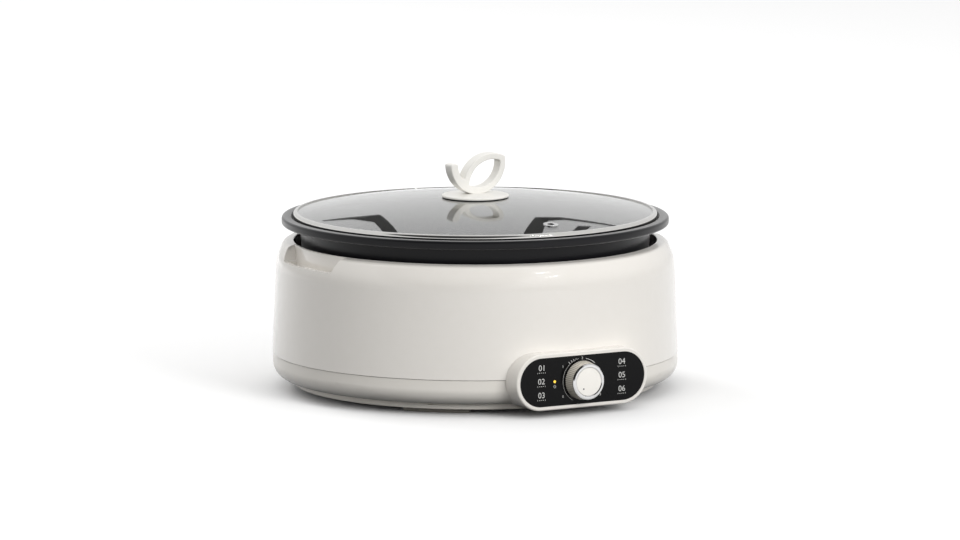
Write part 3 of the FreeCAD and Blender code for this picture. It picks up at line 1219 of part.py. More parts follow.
def knob():
    """Fluted, slightly conical knob with a bevelled ring, a disc with a pointer mark and a shaft."""
    bore = "shaft_radius + bite"
    barrel = facing_front(new_body("knob_barrel"), PANEL_FACE, KNOB_HEIGHT)
    spin(barrel, "barrel", [
        corner(bore, "2 * knob_gap"),
        corner("hub_radius", "2 * knob_gap"),
        corner("hub_radius", f"{KNOB_PLATE} - knob_skin"),
        corner(f"{KNOB_FRONT} - knob_skin", f"{KNOB_PLATE} - knob_skin"),
        corner("knob_rear - knob_skin", "knob_gap"),
        corner("knob_rear", "knob_gap"),
        corner(KNOB_FRONT, KNOB_PLATE),
        corner(bore, KNOB_PLATE),
    ])
    flute = sketch_on(barrel, "XY_Plane", "flute_outline")
    half = "knob_rear * sin(90 / rib_count)"
    outline(flute, [
        corner("knob_rear - rib_depth", "0"),
        corner("knob_rear + rib_depth", minus(half)),
        corner("knob_rear + rib_depth", half),
    ])
    groove = extrude(barrel, "flute", flute, KNOB_PLATE, cut=True)
    repeat_round(barrel, "flutes", [groove], "rib_count")
    inner = f"{CAP_RADIUS} + cap_play"
    ring = facing_front(new_body("knob_ring"), PANEL_FACE, KNOB_HEIGHT)
    spin(ring, "ring", [
        corner(inner, KNOB_PLATE),
        corner(KNOB_FRONT, KNOB_PLATE),
        corner(KNOB_FRONT, "knob_reach - ring_bevel"),
        corner(f"{KNOB_FRONT} - ring_bevel", "knob_reach"),
        corner(f"{inner} + ring_bevel / 2", "knob_reach"),
        corner(inner, "knob_reach - ring_bevel / 2"),
    ])
    cap = facing_front(new_body("knob_cap"), PANEL_FACE, KNOB_HEIGHT)
    spin(cap, "disc", [
        corner("0", KNOB_PLATE),
        corner(CAP_RADIUS, KNOB_PLATE),
        corner(CAP_RADIUS, f"{KNOB_PLATE} + cap_height", "mark_depth"),
        corner("0", f"{KNOB_PLATE} + cap_height"),
    ])
    mark = sketch_on(cap, "XY_Plane", "mark_outline", offset=f"{KNOB_PLATE} + cap_height - mark_depth")
    circle(mark, "mark_circle * cos(mark_angle)", "mark_circle * sin(mark_angle)", "mark_radius")
    extrude(cap, "mark", mark, "2 * mark_depth", cut=True)
    shaft = facing_front(new_body("knob_shaft"), PANEL_FACE, KNOB_HEIGHT)
    back = "panel_thick + web_thick + shaft_back"
    rod = sketch_on(shaft, "XY_Plane", "shaft_outline", offset=minus(back))
    circle(rod, "0", "0", "shaft_radius")
    extrude(shaft, "rod", rod, f"{back} + {KNOB_PLATE} - fit")


# Mains inlet ------------------------------------------------------------------------------------


def mains_inlet():
    """Recessed socket at the back with three contact blades through its floor."""
    body = place(new_body("inlet_housing"))
    flange = sketch_on(body, "XZ_Plane", "flange_outline", offset=minus(INLET_FACE))
    rectangle(flange, "0", INLET_HEIGHT, "inlet_half_width", "inlet_half_height", "inlet_corner")
    extrude(body, "flange", flange, "inlet_flange")
    half_width = "inlet_half_width - inlet_edge"
    half_height = "inlet_half_height - inlet_edge"
    box = sketch_on(body, "XZ_Plane", "body_outline", offset=minus(INLET_SEAT))
    rectangle(box, "0", INLET_HEIGHT, half_width, half_height, "inlet_corner")
    extrude(body, "body", box, "inlet_depth")
    mouth = sketch_on(body, "XZ_Plane", "mouth_outline", offset=minus(f"{INLET_FACE} + wall"))
    rectangle(mouth, "0", INLET_HEIGHT, f"{half_width} - inlet_wall",
              f"{half_height} - inlet_wall", "inlet_corner - fit")
    extrude(body, "mouth", mouth, "inlet_flange + inlet_depth - inlet_wall + wall", cut=True)
    blades = place(new_body("inlet_blades"))
    blades.AllowCompound = True
    tip = f"{INLET_FACE} - blade_sink"
    for name, x, z in (
        ("live", "-1 * blade_pitch", f"{INLET_HEIGHT} - blade_drop"),
        ("neutral", "blade_pitch", f"{INLET_HEIGHT} - blade_drop"),
        ("earth", "0", f"{INLET_HEIGHT} + blade_rise"),
    ):
        slot = sketch_on(body, "XZ_Plane", f"{name}_slot_outline", offset=minus(tip))
        rectangle(slot, x, z, "blade_half_width + bite", "blade_half_height + bite")
        extrude(body, f"{name}_slot", slot, "inlet_flange + inlet_depth", cut=True)
        blade = sketch_on(blades, "XZ_Plane", f"{name}_outline", offset=minus(tip))
        rectangle(blade, x, z, "blade_half_width", "blade_half_height")
        extrude(blades, name, blade, f"{tip} - ({INLET_BACK}) + blade_tail")


# Document ---------------------------------------------------------------------------------------


def build():
    """Makes every sub-part."""
    fill_sheet()
    upper_housing()
    lower_housing()
    base_cover()
    feet()
    screws("cover_screws", SCREW_CIRCLE, "0", "4", f"{BELLY_HEIGHT} + boss_height - fit")
    screws("plate_screws", "0", POST_CIRCLE, "3", f"{THREAD_TOP} - fit")
    well_liner()
    heating_plate()
    heating_element()
    thermal_fuse()
    sensor()
    cooking_pot()
    lid_rim()
    lid_glass()
    vent_eyelet()
    lid_fixing()
    lid_knob_base()
    loop_handle()
    control_pod()
    panel_glass()
    control_board()
    rotary_switch()
    knob()
    mains_inlet()
    DOC.recompute()


def check():
    """Stops if an object failed or a sub-part's shape is empty or invalid."""
    for item in DOC.Objects:
        if {"Invalid", "Error"} & set(item.State):
            raise RuntimeError(f"{item.Label}: {item.State}")
    for body in SUBPARTS:
        if body.Shape.isNull() or not body.Shape.isValid():
            raise RuntimeError(f"{body.Label}: the shape is empty or invalid")


def export():
    """Writes one STEP file for each sub-part."""
    os.makedirs("parts", exist_ok=True)
    for body in SUBPARTS:
        body.Shape.exportStep(os.path.join("parts", f"{body.Label}.step"))
        box = body.Shape.BoundBox
        print(f"{body.Label:18s} {body.Shape.Volume:11.1f} mm3  solids {len(body.Shape.Solids)}"
              f"  x {box.XMin:7.1f} {box.XMax:7.1f}  y {box.YMin:7.1f} {box.YMax:7.1f}"
              f"  z {box.ZMin:7.1f} {box.ZMax:7.1f}")


build()
check()
export()
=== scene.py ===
"""Looks of an electric hot pot: finishes, turned pieces, print, light and camera on its frame."""
import math

import bmesh
import bpy
import numpy as np
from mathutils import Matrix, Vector


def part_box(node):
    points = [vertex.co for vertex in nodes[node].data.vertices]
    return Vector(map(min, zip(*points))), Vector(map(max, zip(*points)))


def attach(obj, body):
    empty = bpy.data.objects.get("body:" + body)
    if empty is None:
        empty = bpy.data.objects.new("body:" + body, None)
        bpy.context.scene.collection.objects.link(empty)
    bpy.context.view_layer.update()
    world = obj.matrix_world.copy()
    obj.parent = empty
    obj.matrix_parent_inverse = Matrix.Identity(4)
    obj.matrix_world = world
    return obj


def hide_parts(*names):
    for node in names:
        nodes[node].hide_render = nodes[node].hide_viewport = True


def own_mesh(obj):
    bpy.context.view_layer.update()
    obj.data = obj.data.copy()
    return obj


MM = 0.001

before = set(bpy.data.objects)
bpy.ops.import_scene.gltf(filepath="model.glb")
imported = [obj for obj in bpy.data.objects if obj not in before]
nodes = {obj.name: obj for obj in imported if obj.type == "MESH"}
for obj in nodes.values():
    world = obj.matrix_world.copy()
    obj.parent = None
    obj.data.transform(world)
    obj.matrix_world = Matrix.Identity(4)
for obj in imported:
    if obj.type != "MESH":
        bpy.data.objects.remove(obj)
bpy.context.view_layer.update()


def middle(name):
    """Centre of a CAD node's box."""
    low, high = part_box(name)
    return (low + high) / 2


AXIS = middle("heating_plate")  # the pot's axis runs up through it
KNOB = middle("knob_cap")
KNOB_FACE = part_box("knob_cap")[0].y
PANEL = middle("panel_glass")
PANEL_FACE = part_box("panel_glass")[0].y


# Materials ----------------------------------------------------------------------------------------


def linear(hex_colour):
    """An sRGB hex colour such as "#E9E6E1" as linear red, green, blue and alpha."""
    channels = [int(hex_colour[at:at + 2], 16) / 255 for at in (1, 3, 5)]
    curved = [c / 12.92 if c <= 0.04045 else ((c + 0.055) / 1.055) ** 2.4 for c in channels]
    return (*curved, 1.0)


def add(tree, kind, inputs=None, **settings):
    """Adds a node; inputs maps a socket's name or number to a value or to a socket to link."""
    node = tree.nodes.new(kind)
    for name, value in settings.items():
        setattr(node, name, value)
    for name, value in (inputs or {}).items():
        if isinstance(value, bpy.types.NodeSocket):
            tree.links.new(value, node.inputs[name])
        else:
            node.inputs[name].default_value = value
    return node


def new_tree(name):
    """A material with an empty node tree."""
    material = bpy.data.materials.new(name)
    material.use_nodes = True
    material.node_tree.nodes.clear()
    return material, material.node_tree


def per_mm(size):
    """Scale of a pattern on Object coordinates whose features are this many millimetres wide."""
    return 1 / (size * MM)


def surface(tree, pattern, light, dark, rough, relief, **shader):
    """Ends a material: the pattern mixes two close colours, two roughnesses and a fine relief."""
    tone = add(tree, "ShaderNodeMix", {0: pattern, 6: linear(dark), 7: linear(light)},
               data_type="RGBA")
    gloss = add(tree, "ShaderNodeMapRange", {
        "Value": pattern, "To Min": rough[0], "To Max": rough[1],
    })
    bump = add(tree, "ShaderNodeBump", {
        "Height": pattern, "Distance": relief * MM, "Strength": 1.0,
    })
    bsdf = add(tree, "ShaderNodeBsdfPrincipled", {
        "Base Color": tone.outputs[2], "Roughness": gloss.outputs[0],
        "Normal": bump.outputs["Normal"], **shader,
    })
    add(tree, "ShaderNodeOutputMaterial", {"Surface": bsdf.outputs[0]})


def even(name, light, dark, rough, grain, relief, **shader):
    """A surface with an even mottle; grain is its size and relief its height, in millimetres."""
    material, tree = new_tree(name)
    place = add(tree, "ShaderNodeTexCoord").outputs["Object"]
    mottle = add(tree, "ShaderNodeTexNoise", {
        "Vector": place, "Scale": per_mm(grain), "Detail": 3.0, "Roughness": 0.55,
    }).outputs["Fac"]
    surface(tree, mottle, light, dark, rough, relief, **shader)
    return material


def turned(name, light, dark, rough, line, centre, **shader):
    """Metal with fine circular lines, a line's width apart, about an axis along Y through centre.

    The noise is read at the distance from that axis, so that it is the same all round.
    """
    material, tree = new_tree(name)
    place = add(tree, "ShaderNodeTexCoord").outputs["Object"]
    local = add(tree, "ShaderNodeVectorMath", {0: place, 1: centre}, operation="SUBTRACT")
    flat = add(tree, "ShaderNodeVectorMath", {0: local.outputs[0], 1: (1, 0, 1)},
               operation="MULTIPLY")
    reach = add(tree, "ShaderNodeVectorMath", {0: flat.outputs[0]}, operation="LENGTH")
    stroke = add(tree, "ShaderNodeCombineXYZ", {0: reach.outputs["Value"]})
    lines = add(tree, "ShaderNodeTexNoise", {
        "Vector": stroke.outputs[0], "Scale": per_mm(line), "Detail": 2.0,
    }).outputs["Fac"]
    surface(tree, lines, light, dark, rough, relief=0.002, **shader)
    return material


def ribbed(name, light, dark, rough, centre, count, **shader):
    """A round grip with count grooves along an axis parallel to Y through centre.

    The cosine of count times the angle about that axis runs from groove to rib, and its square
    root keeps the ribs wide and the grooves narrow. The grooves take the dark colour, which is
    painted shade on top of the relief.
    """
    material, tree = new_tree(name)
    place = add(tree, "ShaderNodeTexCoord").outputs["Object"]
    local = add(tree, "ShaderNodeVectorMath", {0: place, 1: centre}, operation="SUBTRACT")
    axes = add(tree, "ShaderNodeSeparateXYZ", {0: local.outputs[0]}).outputs
    angle = add(tree, "ShaderNodeMath", {0: axes["Z"], 1: axes["X"]}, operation="ARCTAN2")
    turns = add(tree, "ShaderNodeMath", {0: angle.outputs[0], 1: float(count)},
                operation="MULTIPLY")
    wave = add(tree, "ShaderNodeMath", {0: turns.outputs[0]}, operation="COSINE")
    rise = add(tree, "ShaderNodeMapRange", {"Value": wave.outputs[0], "From Min": 1.0,
                                            "From Max": -1.0})
    ribs = add(tree, "ShaderNodeMath", {0: rise.outputs[0], 1: 0.5}, operation="POWER")
    # The dark colour in the grooves is painted shade, not the lacquer's own colour.
    surface(tree, ribs.outputs[0], light, dark, rough, relief=0.15, **shader)
    return material


def drawn(name, light, dark, rough, line, **shader):
    """Sheet metal with fine lines, a line's width apart, that run level round the piece.

    The noise is read almost at the height alone, so that its features stretch sideways.
    """
    material, tree = new_tree(name)
    place = add(tree, "ShaderNodeTexCoord").outputs["Object"]
    level = add(tree, "ShaderNodeVectorMath", {0: place, 1: (0.02, 0.02, 1.0)},
                operation="MULTIPLY")
    lines = add(tree, "ShaderNodeTexNoise", {
        "Vector": level.outputs[0], "Scale": per_mm(line), "Detail": 2.0,
    }).outputs["Fac"]
    surface(tree, lines, light, dark, rough, relief=0.003, **shader)
    return material


def clear_glass():
    """Tempered glass: clear, barely green, with a faint roll under its easy-clean coat."""
    material, tree = new_tree("tempered_glass")
    place = add(tree, "ShaderNodeTexCoord").outputs["Object"]
    roll = add(tree, "ShaderNodeTexNoise", {"Vector": place, "Scale": per_mm(60)}).outputs["Fac"]
    bump = add(tree, "ShaderNodeBump", {"Height": roll, "Distance": 0.01 * MM})
    bsdf = add(tree, "ShaderNodeBsdfPrincipled", {
        "Base Color": linear("#F6F7F6"), "Roughness": 0.0, "IOR": 1.52,
        "Transmission Weight": 1.0, "Coat Weight": 0.5, "Coat Roughness": 0.0,
        "Normal": bump.outputs["Normal"],
    })
    add(tree, "ShaderNodeOutputMaterial", {"Surface": bsdf.outputs[0]})
    return material


def dress(material, *names):
    """Gives CAD nodes a material."""
    for name in names:
        for slot in nodes[name].material_slots:
            slot.material = material


METAL = {"Metallic": 1.0}

# High-gloss ABS, straight from a polished mould: warm white, with a clean skin over a faint
# unevenness in its shine.
dress(even("gloss_abs_shell", "#ECE8E2", "#E9E5DE", (0.14, 0.2), 9, 0.003,
           **{"Coat Weight": 0.5, "Coat Roughness": 0.03}), "upper_housing", "control_pod")
# The same plastic in its own mould: a touch warmer and softer in its shine.
dress(even("gloss_abs_belly", "#EAE6DF", "#E7E3DB", (0.18, 0.24), 9, 0.003), "lower_housing")
# The base's plastic: a slightly lighter white, with a fine dry grain from an eroded mould.
dress(even("eroded_abs_base", "#F2EEE6", "#ECE7DE", (0.34, 0.44), 0.5, 0.01), "base_cover")
# Thermoplastic rubber: dull, with a slight bloom.
dress(even("tpe_rubber_foot", "#A09B92", "#918C83", (0.7, 0.85), 0.6, 0.02),
      "foot_front_left", "foot_front_right", "foot_rear_left", "foot_rear_right")
# Tempered glass with black ceramic ink behind it: deep black under a hard, clean shine.
dress(even("ceramic_ink_glass", "#0E0E0F", "#0A0A0B", (0.05, 0.08), 14, 0.0005,
           **{"Specular IOR Level": 0.12}), "panel_glass")
# Polycarbonate light guide, lit from behind by a yellow lamp.
dress(even("lit_polycarbonate", "#F2C94A", "#E8B93A", (0.25, 0.3), 1, 0.002,
           **{"Emission Color": linear("#FFD24A"), "Emission Strength": 0.7}), "indicator_lens")
# Cast aluminium under a sprayed non-stick coating: satin black with a fine orange peel, and a
# silky grey shine where it is seen at a low angle.
NONSTICK = even("nonstick_cast_aluminium", "#17171A", "#111113", (0.27, 0.35), 0.8, 0.003,
                **{"Specular IOR Level": 0.2, "Sheen Weight": 0.5, "Sheen Roughness": 0.3})
dress(NONSTICK, "cooking_pot")
# Urea moulding of the lid's handle: whiter than the shell, with a softer shine.
dress(even("urea_moulding", "#EDEBE6", "#EAE8E2", (0.26, 0.32), 5, 0.0003),
      "lid_knob_base", "loop_handle")
# Silicone: milky, soft and dull.
dress(even("silicone", "#D9D9D7", "#CFCFCD", (0.5, 0.6), 1, 0.01), "lid_washer")
# Champagne lacquer with fine pearl flakes; the grip's grooves are darkened between their ribs, a
# painted shade.
dress(ribbed("champagne_lacquer_groove_shade", "#EDE8DC", "#A89F90", (0.32, 0.5), centre=KNOB, count=60,
             **{"Metallic": 0.15}), "knob_barrel")
# Chrome plating: nearly a mirror.
dress(even("chrome_plate", "#DEDEDE", "#D8D8D8", (0.03, 0.05), 6, 0.0003, **METAL),
      "knob_ring", "vent_eyelet")
# Rolled stainless steel, buffed until it mirrors.
STAINLESS = even("mirror_stainless", "#E2E1DE", "#DCDBD8", (0.02, 0.04), 6, 0.0003, **METAL)
dress(STAINLESS, "lid_rim")
# Spun aluminium disc under clear lacquer: a white shine with faint circular lines.
dress(turned("spun_aluminium", "#F6F3ED", "#EAE7E1", (0.3, 0.42), line=0.12, centre=KNOB, **METAL),
      "knob_cap")
# Aluminised sheet of the well: the rolling shows as level lines.
dress(drawn("aluminised_sheet", "#C9C9CA", "#A9A9AA", (0.28, 0.42), 0.3, **METAL), "well_liner")
# Sand-cast aluminium with a skimmed face.
dress(even("cast_aluminium", "#B4B4B5", "#8F8F90", (0.4, 0.55), 0.9, 0.03, **METAL),
      "heating_plate")
# Nickel alloy tube, browned by heat.
dress(even("oxidised_nickel_alloy", "#6B665F", "#45413C", (0.4, 0.6), 1.5, 0.01, **METAL),
      "heating_element")
# Zinc plating: bluish bright with a cloudy grain.
dress(even("zinc_plated_steel", "#C4C4C2", "#9D9D9B", (0.25, 0.4), 0.7, 0.003, **METAL),
      "cover_screws", "plate_screws", "lid_screw", "thermal_fuse")
# Natural polyester: cream and half matt.
dress(even("natural_pbt", "#D8D2C4", "#CBC5B7", (0.4, 0.5), 0.8, 0.01),
      "sensor_guide", "rotary_switch")
# Deep-drawn aluminium cup: soft shine with a slight skin.
dress(even("drawn_aluminium", "#D3D3D4", "#B9B9BA", (0.2, 0.32), 0.6, 0.003, **METAL),
      "sensor_cup")
# Hard-drawn wire and turned bar: grey and slick with oil.
SPRING_STEEL = even("spring_steel", "#8C8B89", "#6F6E6C", (0.25, 0.35), 0.4, 0.002, **METAL)
dress(SPRING_STEEL, "sensor_spring", "knob_shaft")
# Green solder mask over glass fibre.
dress(even("solder_mask", "#2F6B3A", "#265A30", (0.25, 0.35), 1.2, 0.01), "control_board")
# Glass-filled nylon: black, with a dry skin.
dress(even("black_polyamide", "#202021", "#17171A", (0.45, 0.55), 0.5, 0.015), "inlet_housing")
# Nickelled brass contacts.
dress(even("nickelled_brass", "#D8D0B8", "#BDB497", (0.2, 0.3), 0.6, 0.002, **METAL),
      "inlet_blades")
GLASS = clear_glass()
dress(GLASS, "lid_glass")


# Shapes -------------------------------------------------------------------------------------------


def filleted(corners, steps=16):
    """A profile from (radius, height, fillet) corners, anticlockwise.

    A fillet's arc turns about the point at fillet / sin(half the corner's angle) along its
    bisector, from one side's tangent point to the other's, in equal angles.
    """
    places = np.array([corner[:2] for corner in corners])
    runs = []
    for here, before, after, (_, _, fillet) in zip(
            places, np.roll(places, 1, axis=0), np.roll(places, -1, axis=0), corners):
        if not fillet:
            runs.append(here[None])
            continue
        back = (before - here) / np.linalg.norm(before - here)
        ahead = (after - here) / np.linalg.norm(after - here)
        half = math.acos(float(np.clip(back @ ahead, -1, 1))) / 2
        centre = here + (back + ahead) / np.linalg.norm(back + ahead) * fillet / math.sin(half)
        start, end = (here + way * fillet / math.tan(half) - centre for way in (back, ahead))
        swing = math.pi - 2 * half
        share = np.linspace(0, 1, steps + 1)[:, None] * swing
        runs.append(centre + (np.sin(swing - share) * start + np.sin(share) * end)
                    / math.sin(swing))
    return np.concatenate(runs)


def lathed(profile, closed=True, steps=360):
    """Vertices and faces of a profile, as (radius, height), carried round the pot's axis.

    Each point of the profile gives a circle: radius times the cosine and sine of the angle. A
    profile that isn't closed ends at the axis.
    """
    turn = np.linspace(0, 2 * np.pi, steps, endpoint=False)
    count = len(profile)
    places = np.empty((steps, count, 3))
    places[..., 0] = np.cos(turn)[:, None] * profile[:, 0]
    places[..., 1] = np.sin(turn)[:, None] * profile[:, 0]
    places[..., 2] = profile[:, 1]
    ring, place = np.meshgrid(np.arange(steps), np.arange(count if closed else count - 1),
                              indexing="ij")
    further, following = (ring + 1) % steps, (place + 1) % count
    faces = np.stack([ring * count + place, further * count + place,
                      further * count + following, ring * count + following], axis=-1)
    return places.reshape(-1, 3), faces.reshape(-1, 4).tolist()


def dome(radius, crown, sphere):
    """Points of a dome's profile: height is the crown less the sphere's sagitta at each radius."""
    return np.column_stack([radius, crown - sphere + np.sqrt(sphere ** 2 - radius ** 2)])


def helix(radius, wire, low, high, turns, steps=48, around=12):
    """Vertices and faces of a round wire that climbs in turns round the pot's axis.

    A point lies at the coil's radius plus the wire's radius times a cosine, and at the helix's
    height plus the wire's radius times the sine of the same angle.
    """
    rings = turns * steps + 1
    share, section = np.meshgrid(np.linspace(0, 1, rings),
                                 np.linspace(0, 2 * np.pi, around, endpoint=False),
                                 indexing="ij")
    turn = 2 * np.pi * turns * share
    reach = radius + wire * np.cos(section)
    places = np.stack([reach * np.cos(turn), reach * np.sin(turn),
                       low + (high - low) * share + wire * np.sin(section)], axis=-1)
    ring, place = np.meshgrid(np.arange(rings - 1), np.arange(around), indexing="ij")
    following = (place + 1) % around
    sides = np.stack([ring * around + place, ring * around + following,
                      (ring + 1) * around + following, (ring + 1) * around + place], axis=-1)
    end = np.arange(around)
    faces = [end[::-1].tolist(), (end + (rings - 1) * around).tolist(),
             *sides.reshape(-1, 4)[:, ::-1].tolist()]
    return places.reshape(-1, 3), faces


def prism(outline, front, depth):
    """A flat closed shape standing on a face that looks towards -Y.

    The outline, as (x, z) anticlockwise seen from the front, is copied at front and at
    front + depth, and each of its sides joins the two.
    """
    count = len(outline)
    places = np.empty((2 * count, 3))
    places[:, 0] = np.tile(outline[:, 0], 2)
    places[:, 1] = np.repeat([front, front + depth], count)
    places[:, 2] = np.tile(outline[:, 1], 2)
    here = np.arange(count)
    following = np.roll(here, -1)
    sides = np.column_stack([here, here + count, following + count, following])
    return places, [here.tolist(), (here[::-1] + count).tolist(), *sides.tolist()]


def dash(x, z, length, width, lean):
    """Outline of a bar with round ends: two half circles, pushed apart along its lean."""
    turn = np.radians(np.concatenate([np.linspace(-90, 90, 7), np.linspace(90, 270, 7)]))
    along = np.repeat([0.5, -0.5], 7) * (length - width) + width / 2 * np.cos(turn)
    across = width / 2 * np.sin(turn)
    cosine, sine = math.cos(math.radians(lean)), math.sin(math.radians(lean))
    return np.column_stack([x + along * cosine - across * sine, z + along * sine + across * cosine])


def arc_line(x, z, radius, start, end, width):
    """Outline of a line along a circle: its outer arc, and then its inner arc back."""
    turn = np.radians(np.linspace(start, end, 33))
    ring = np.column_stack([np.cos(turn), np.sin(turn)])
    return np.concatenate([ring * (radius + width / 2), ring[::-1] * (radius - width / 2)]) + (x, z)


def number(text, x, z, height, front, depth):
    """Vertices and faces of upright figures centred at (x, z).

    The font's shape is scaled alike in x and y to the wanted height, and its thickness is laid
    between front and front + depth.
    """
    curve = bpy.data.curves.new("figures", "FONT")
    curve.body = text
    curve.extrude = 0.5
    curve.resolution_u = 3
    writing = bpy.data.objects.new("figures", curve)
    bpy.context.scene.collection.objects.link(writing)
    bpy.context.view_layer.update()
    mesh = bpy.data.meshes.new_from_object(
        writing.evaluated_get(bpy.context.evaluated_depsgraph_get()))
    flat = np.empty(len(mesh.vertices) * 3)
    mesh.vertices.foreach_get("co", flat)
    flat = flat.reshape(-1, 3)
    faces = [list(face.vertices) for face in mesh.polygons]
    bpy.data.objects.remove(writing)
    bpy.data.meshes.remove(mesh)
    low, high = flat.min(axis=0), flat.max(axis=0)
    scale = height / (high[1] - low[1])
    centred = (flat - (low + high) / 2) * scale
    deep = front + depth * (flat[:, 2] < 0)
    return np.column_stack([centred[:, 0] + x, deep, centred[:, 1] + z]), faces


def piece_of(name, parts, origin, body, material):
    """One object on a body, from parts in millimetres about origin, with its doubles merged."""
    counts = np.cumsum([0] + [len(places) for places, _ in parts])
    places = np.concatenate([places for places, _ in parts]) * MM + np.array(origin)
    faces = [[index + start for index in face]
             for start, (_, listed) in zip(counts, parts) for face in listed]
    mesh = bpy.data.meshes.new(name)
    mesh.from_pydata(places, [], faces)
    whole = bmesh.new()
    whole.from_mesh(mesh)
    bmesh.ops.remove_doubles(whole, verts=whole.verts, dist=0.001 * MM)
    whole.to_mesh(mesh)
    whole.free()
    mesh.materials.append(material)
    piece = bpy.data.objects.new(name, mesh)
    bpy.context.scene.collection.objects.link(piece)
    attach(piece, body)
    return piece


def smooth_shine(piece, crease):
    """Smooth shading, broken at edges that turn by more than the crease, in degrees."""
    piece.data.shade_smooth()
    piece.data.set_sharp_from_angle(angle=math.radians(crease))


def pierced(piece, x, y, radius, sides=48, bottom=100.0, top=200.0):
    """Drills an upright hole, sized in millimetres, through a piece, with a prism as the drill."""
    turn = np.linspace(0, 2 * np.pi, sides, endpoint=False)
    rim = np.column_stack([x + radius * np.cos(turn), y + radius * np.sin(turn)])
    low, high = (np.column_stack([rim, np.full(sides, height)]) for height in (bottom, top))
    here = np.arange(sides)
    following = np.roll(here, -1)
    walls = np.column_stack([here, following, following + sides, here + sides])
    mesh = bpy.data.meshes.new("drill")
    mesh.from_pydata(np.concatenate([low, high]) * MM, [],
                     [here[::-1].tolist(), (here + sides).tolist(), *walls.tolist()])
    drill = bpy.data.objects.new("drill", mesh)
    bpy.context.scene.collection.objects.link(drill)
    hole = piece.modifiers.new("hole", "BOOLEAN")
    hole.operation, hole.solver, hole.object = "DIFFERENCE", "EXACT", drill
    bpy.context.view_layer.update()
    drilled = bpy.data.meshes.new_from_object(
        piece.evaluated_get(bpy.context.evaluated_depsgraph_get()))
    piece.modifiers.clear()
    piece.data = drilled
    bpy.data.objects.remove(drill)


# Turned pieces: the pot, the lid's glass and ring, and the sensor's spring ------------------------

# All in millimetres: radii from the pot's axis, and heights from the floor.
POT_NECK = 154.2  # outside of the wall, under the rim
POT_TAPER = 6.6  # the wall's foot is this much nearer the axis
POT_WALL = 2.9
POT_BOTTOM = 50.0
POT_ROUND = 22.0  # curve from the bottom to the wall
RIM_WIDTH = 16.0
RIM_LAND = 8.4  # the rim's flat top
RIM_TOP = 152.4
RIM_THICK = 7.3
RIM_ROUND = 2.2
MOUTH_ROUND = 0.9
SEAT_DROP = 4.3  # from the rim's top to the ledge under the lid

STAND_OFF = 0.3  # air between that ledge and the ring
RING_PLAY = 1.8  # air round the ring, inside the rim
RING_HEIGHT = 8.0
RING_LIP = 3.6
RING_SHEET = 1.0
RING_ROLL = (2.1, 2.8)  # half width and half height of its outside

GLASS_PLAY = 0.1  # between the glass's edge and the ring
GLASS_THICK = 4.0
DOME_EDGE = 155.9
DOME_INNER_EDGE = 155.56  # where the inner dome meets the flat edge's underside
DOME_RISE = 13.4
DOME_SPHERE = 913.6  # radius of the sphere that the outer dome is a cap of
SCREW_HOLE = 2.75
STEAM_HOLE = 4.5
STEAM_HOLE_AHEAD = 131.0  # in front of the axis

COIL_RADIUS = 10.5
COIL_WIRE = 0.7
COIL_TURNS = 4
COIL_LOW, COIL_HIGH = 38.1, 47.5  # middle of the wire at the coil's ends

# What follows from them.
POT_SEAT = RIM_TOP - SEAT_DROP
RIM_RADIUS = POT_NECK + RIM_WIDTH
RIM_INNER = RIM_RADIUS - RIM_LAND
RING_RADIUS = RIM_INNER - RING_PLAY
RING_BOTTOM = POT_SEAT + STAND_OFF
RING_TOP = RING_BOTTOM + RING_HEIGHT
GLASS_TOP = RING_TOP - RING_SHEET
GLASS_LOW = GLASS_TOP - GLASS_THICK


def turned_pot():
    """Cast pot: rounded floor, tapered wall, a wide rim and the ledge that the lid drops into."""
    base, brim, floor = POT_NECK - POT_TAPER, RIM_TOP - RIM_THICK, POT_BOTTOM + POT_WALL
    profile = filleted([
        (0, POT_BOTTOM, 0),
        (base, POT_BOTTOM, POT_ROUND),
        (POT_NECK, brim, POT_WALL),
        (RIM_RADIUS, brim, RIM_ROUND),
        (RIM_RADIUS, RIM_TOP, RIM_ROUND),
        (RIM_INNER, RIM_TOP, MOUTH_ROUND),
        (RIM_INNER, POT_SEAT, 0),
        (POT_NECK - POT_WALL + MOUTH_ROUND, POT_SEAT, MOUTH_ROUND),
        (base - POT_WALL, floor, POT_ROUND - POT_WALL),
        (0, floor, 0),
    ])
    piece = piece_of("turned_pot", [lathed(profile, closed=False)],
                     (AXIS.x, AXIS.y, 0.0), "pot", NONSTICK)
    smooth_shine(piece, crease=12)
    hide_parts("cooking_pot")


def lid_dome():
    """Tempered glass: two domes about one centre over a flat edge, and its two holes."""
    crown, steps = GLASS_TOP + DOME_RISE, 64
    outer = dome(np.linspace(DOME_EDGE, SCREW_HOLE, steps), crown, DOME_SPHERE)
    inner = dome(np.linspace(SCREW_HOLE, DOME_INNER_EDGE, steps), crown - GLASS_THICK,
                 DOME_SPHERE - GLASS_THICK)
    rim = RING_RADIUS - RING_SHEET - GLASS_PLAY
    edge = np.array([(rim, GLASS_LOW), (rim, GLASS_TOP)])
    piece = piece_of("lid_dome", [lathed(np.concatenate([outer, inner, edge]))],
                     (AXIS.x, AXIS.y, 0.0), "lid", GLASS)
    pierced(piece, AXIS.x / MM, AXIS.y / MM - STEAM_HOLE_AHEAD, STEAM_HOLE)
    smooth_shine(piece, crease=6)
    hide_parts("lid_glass")


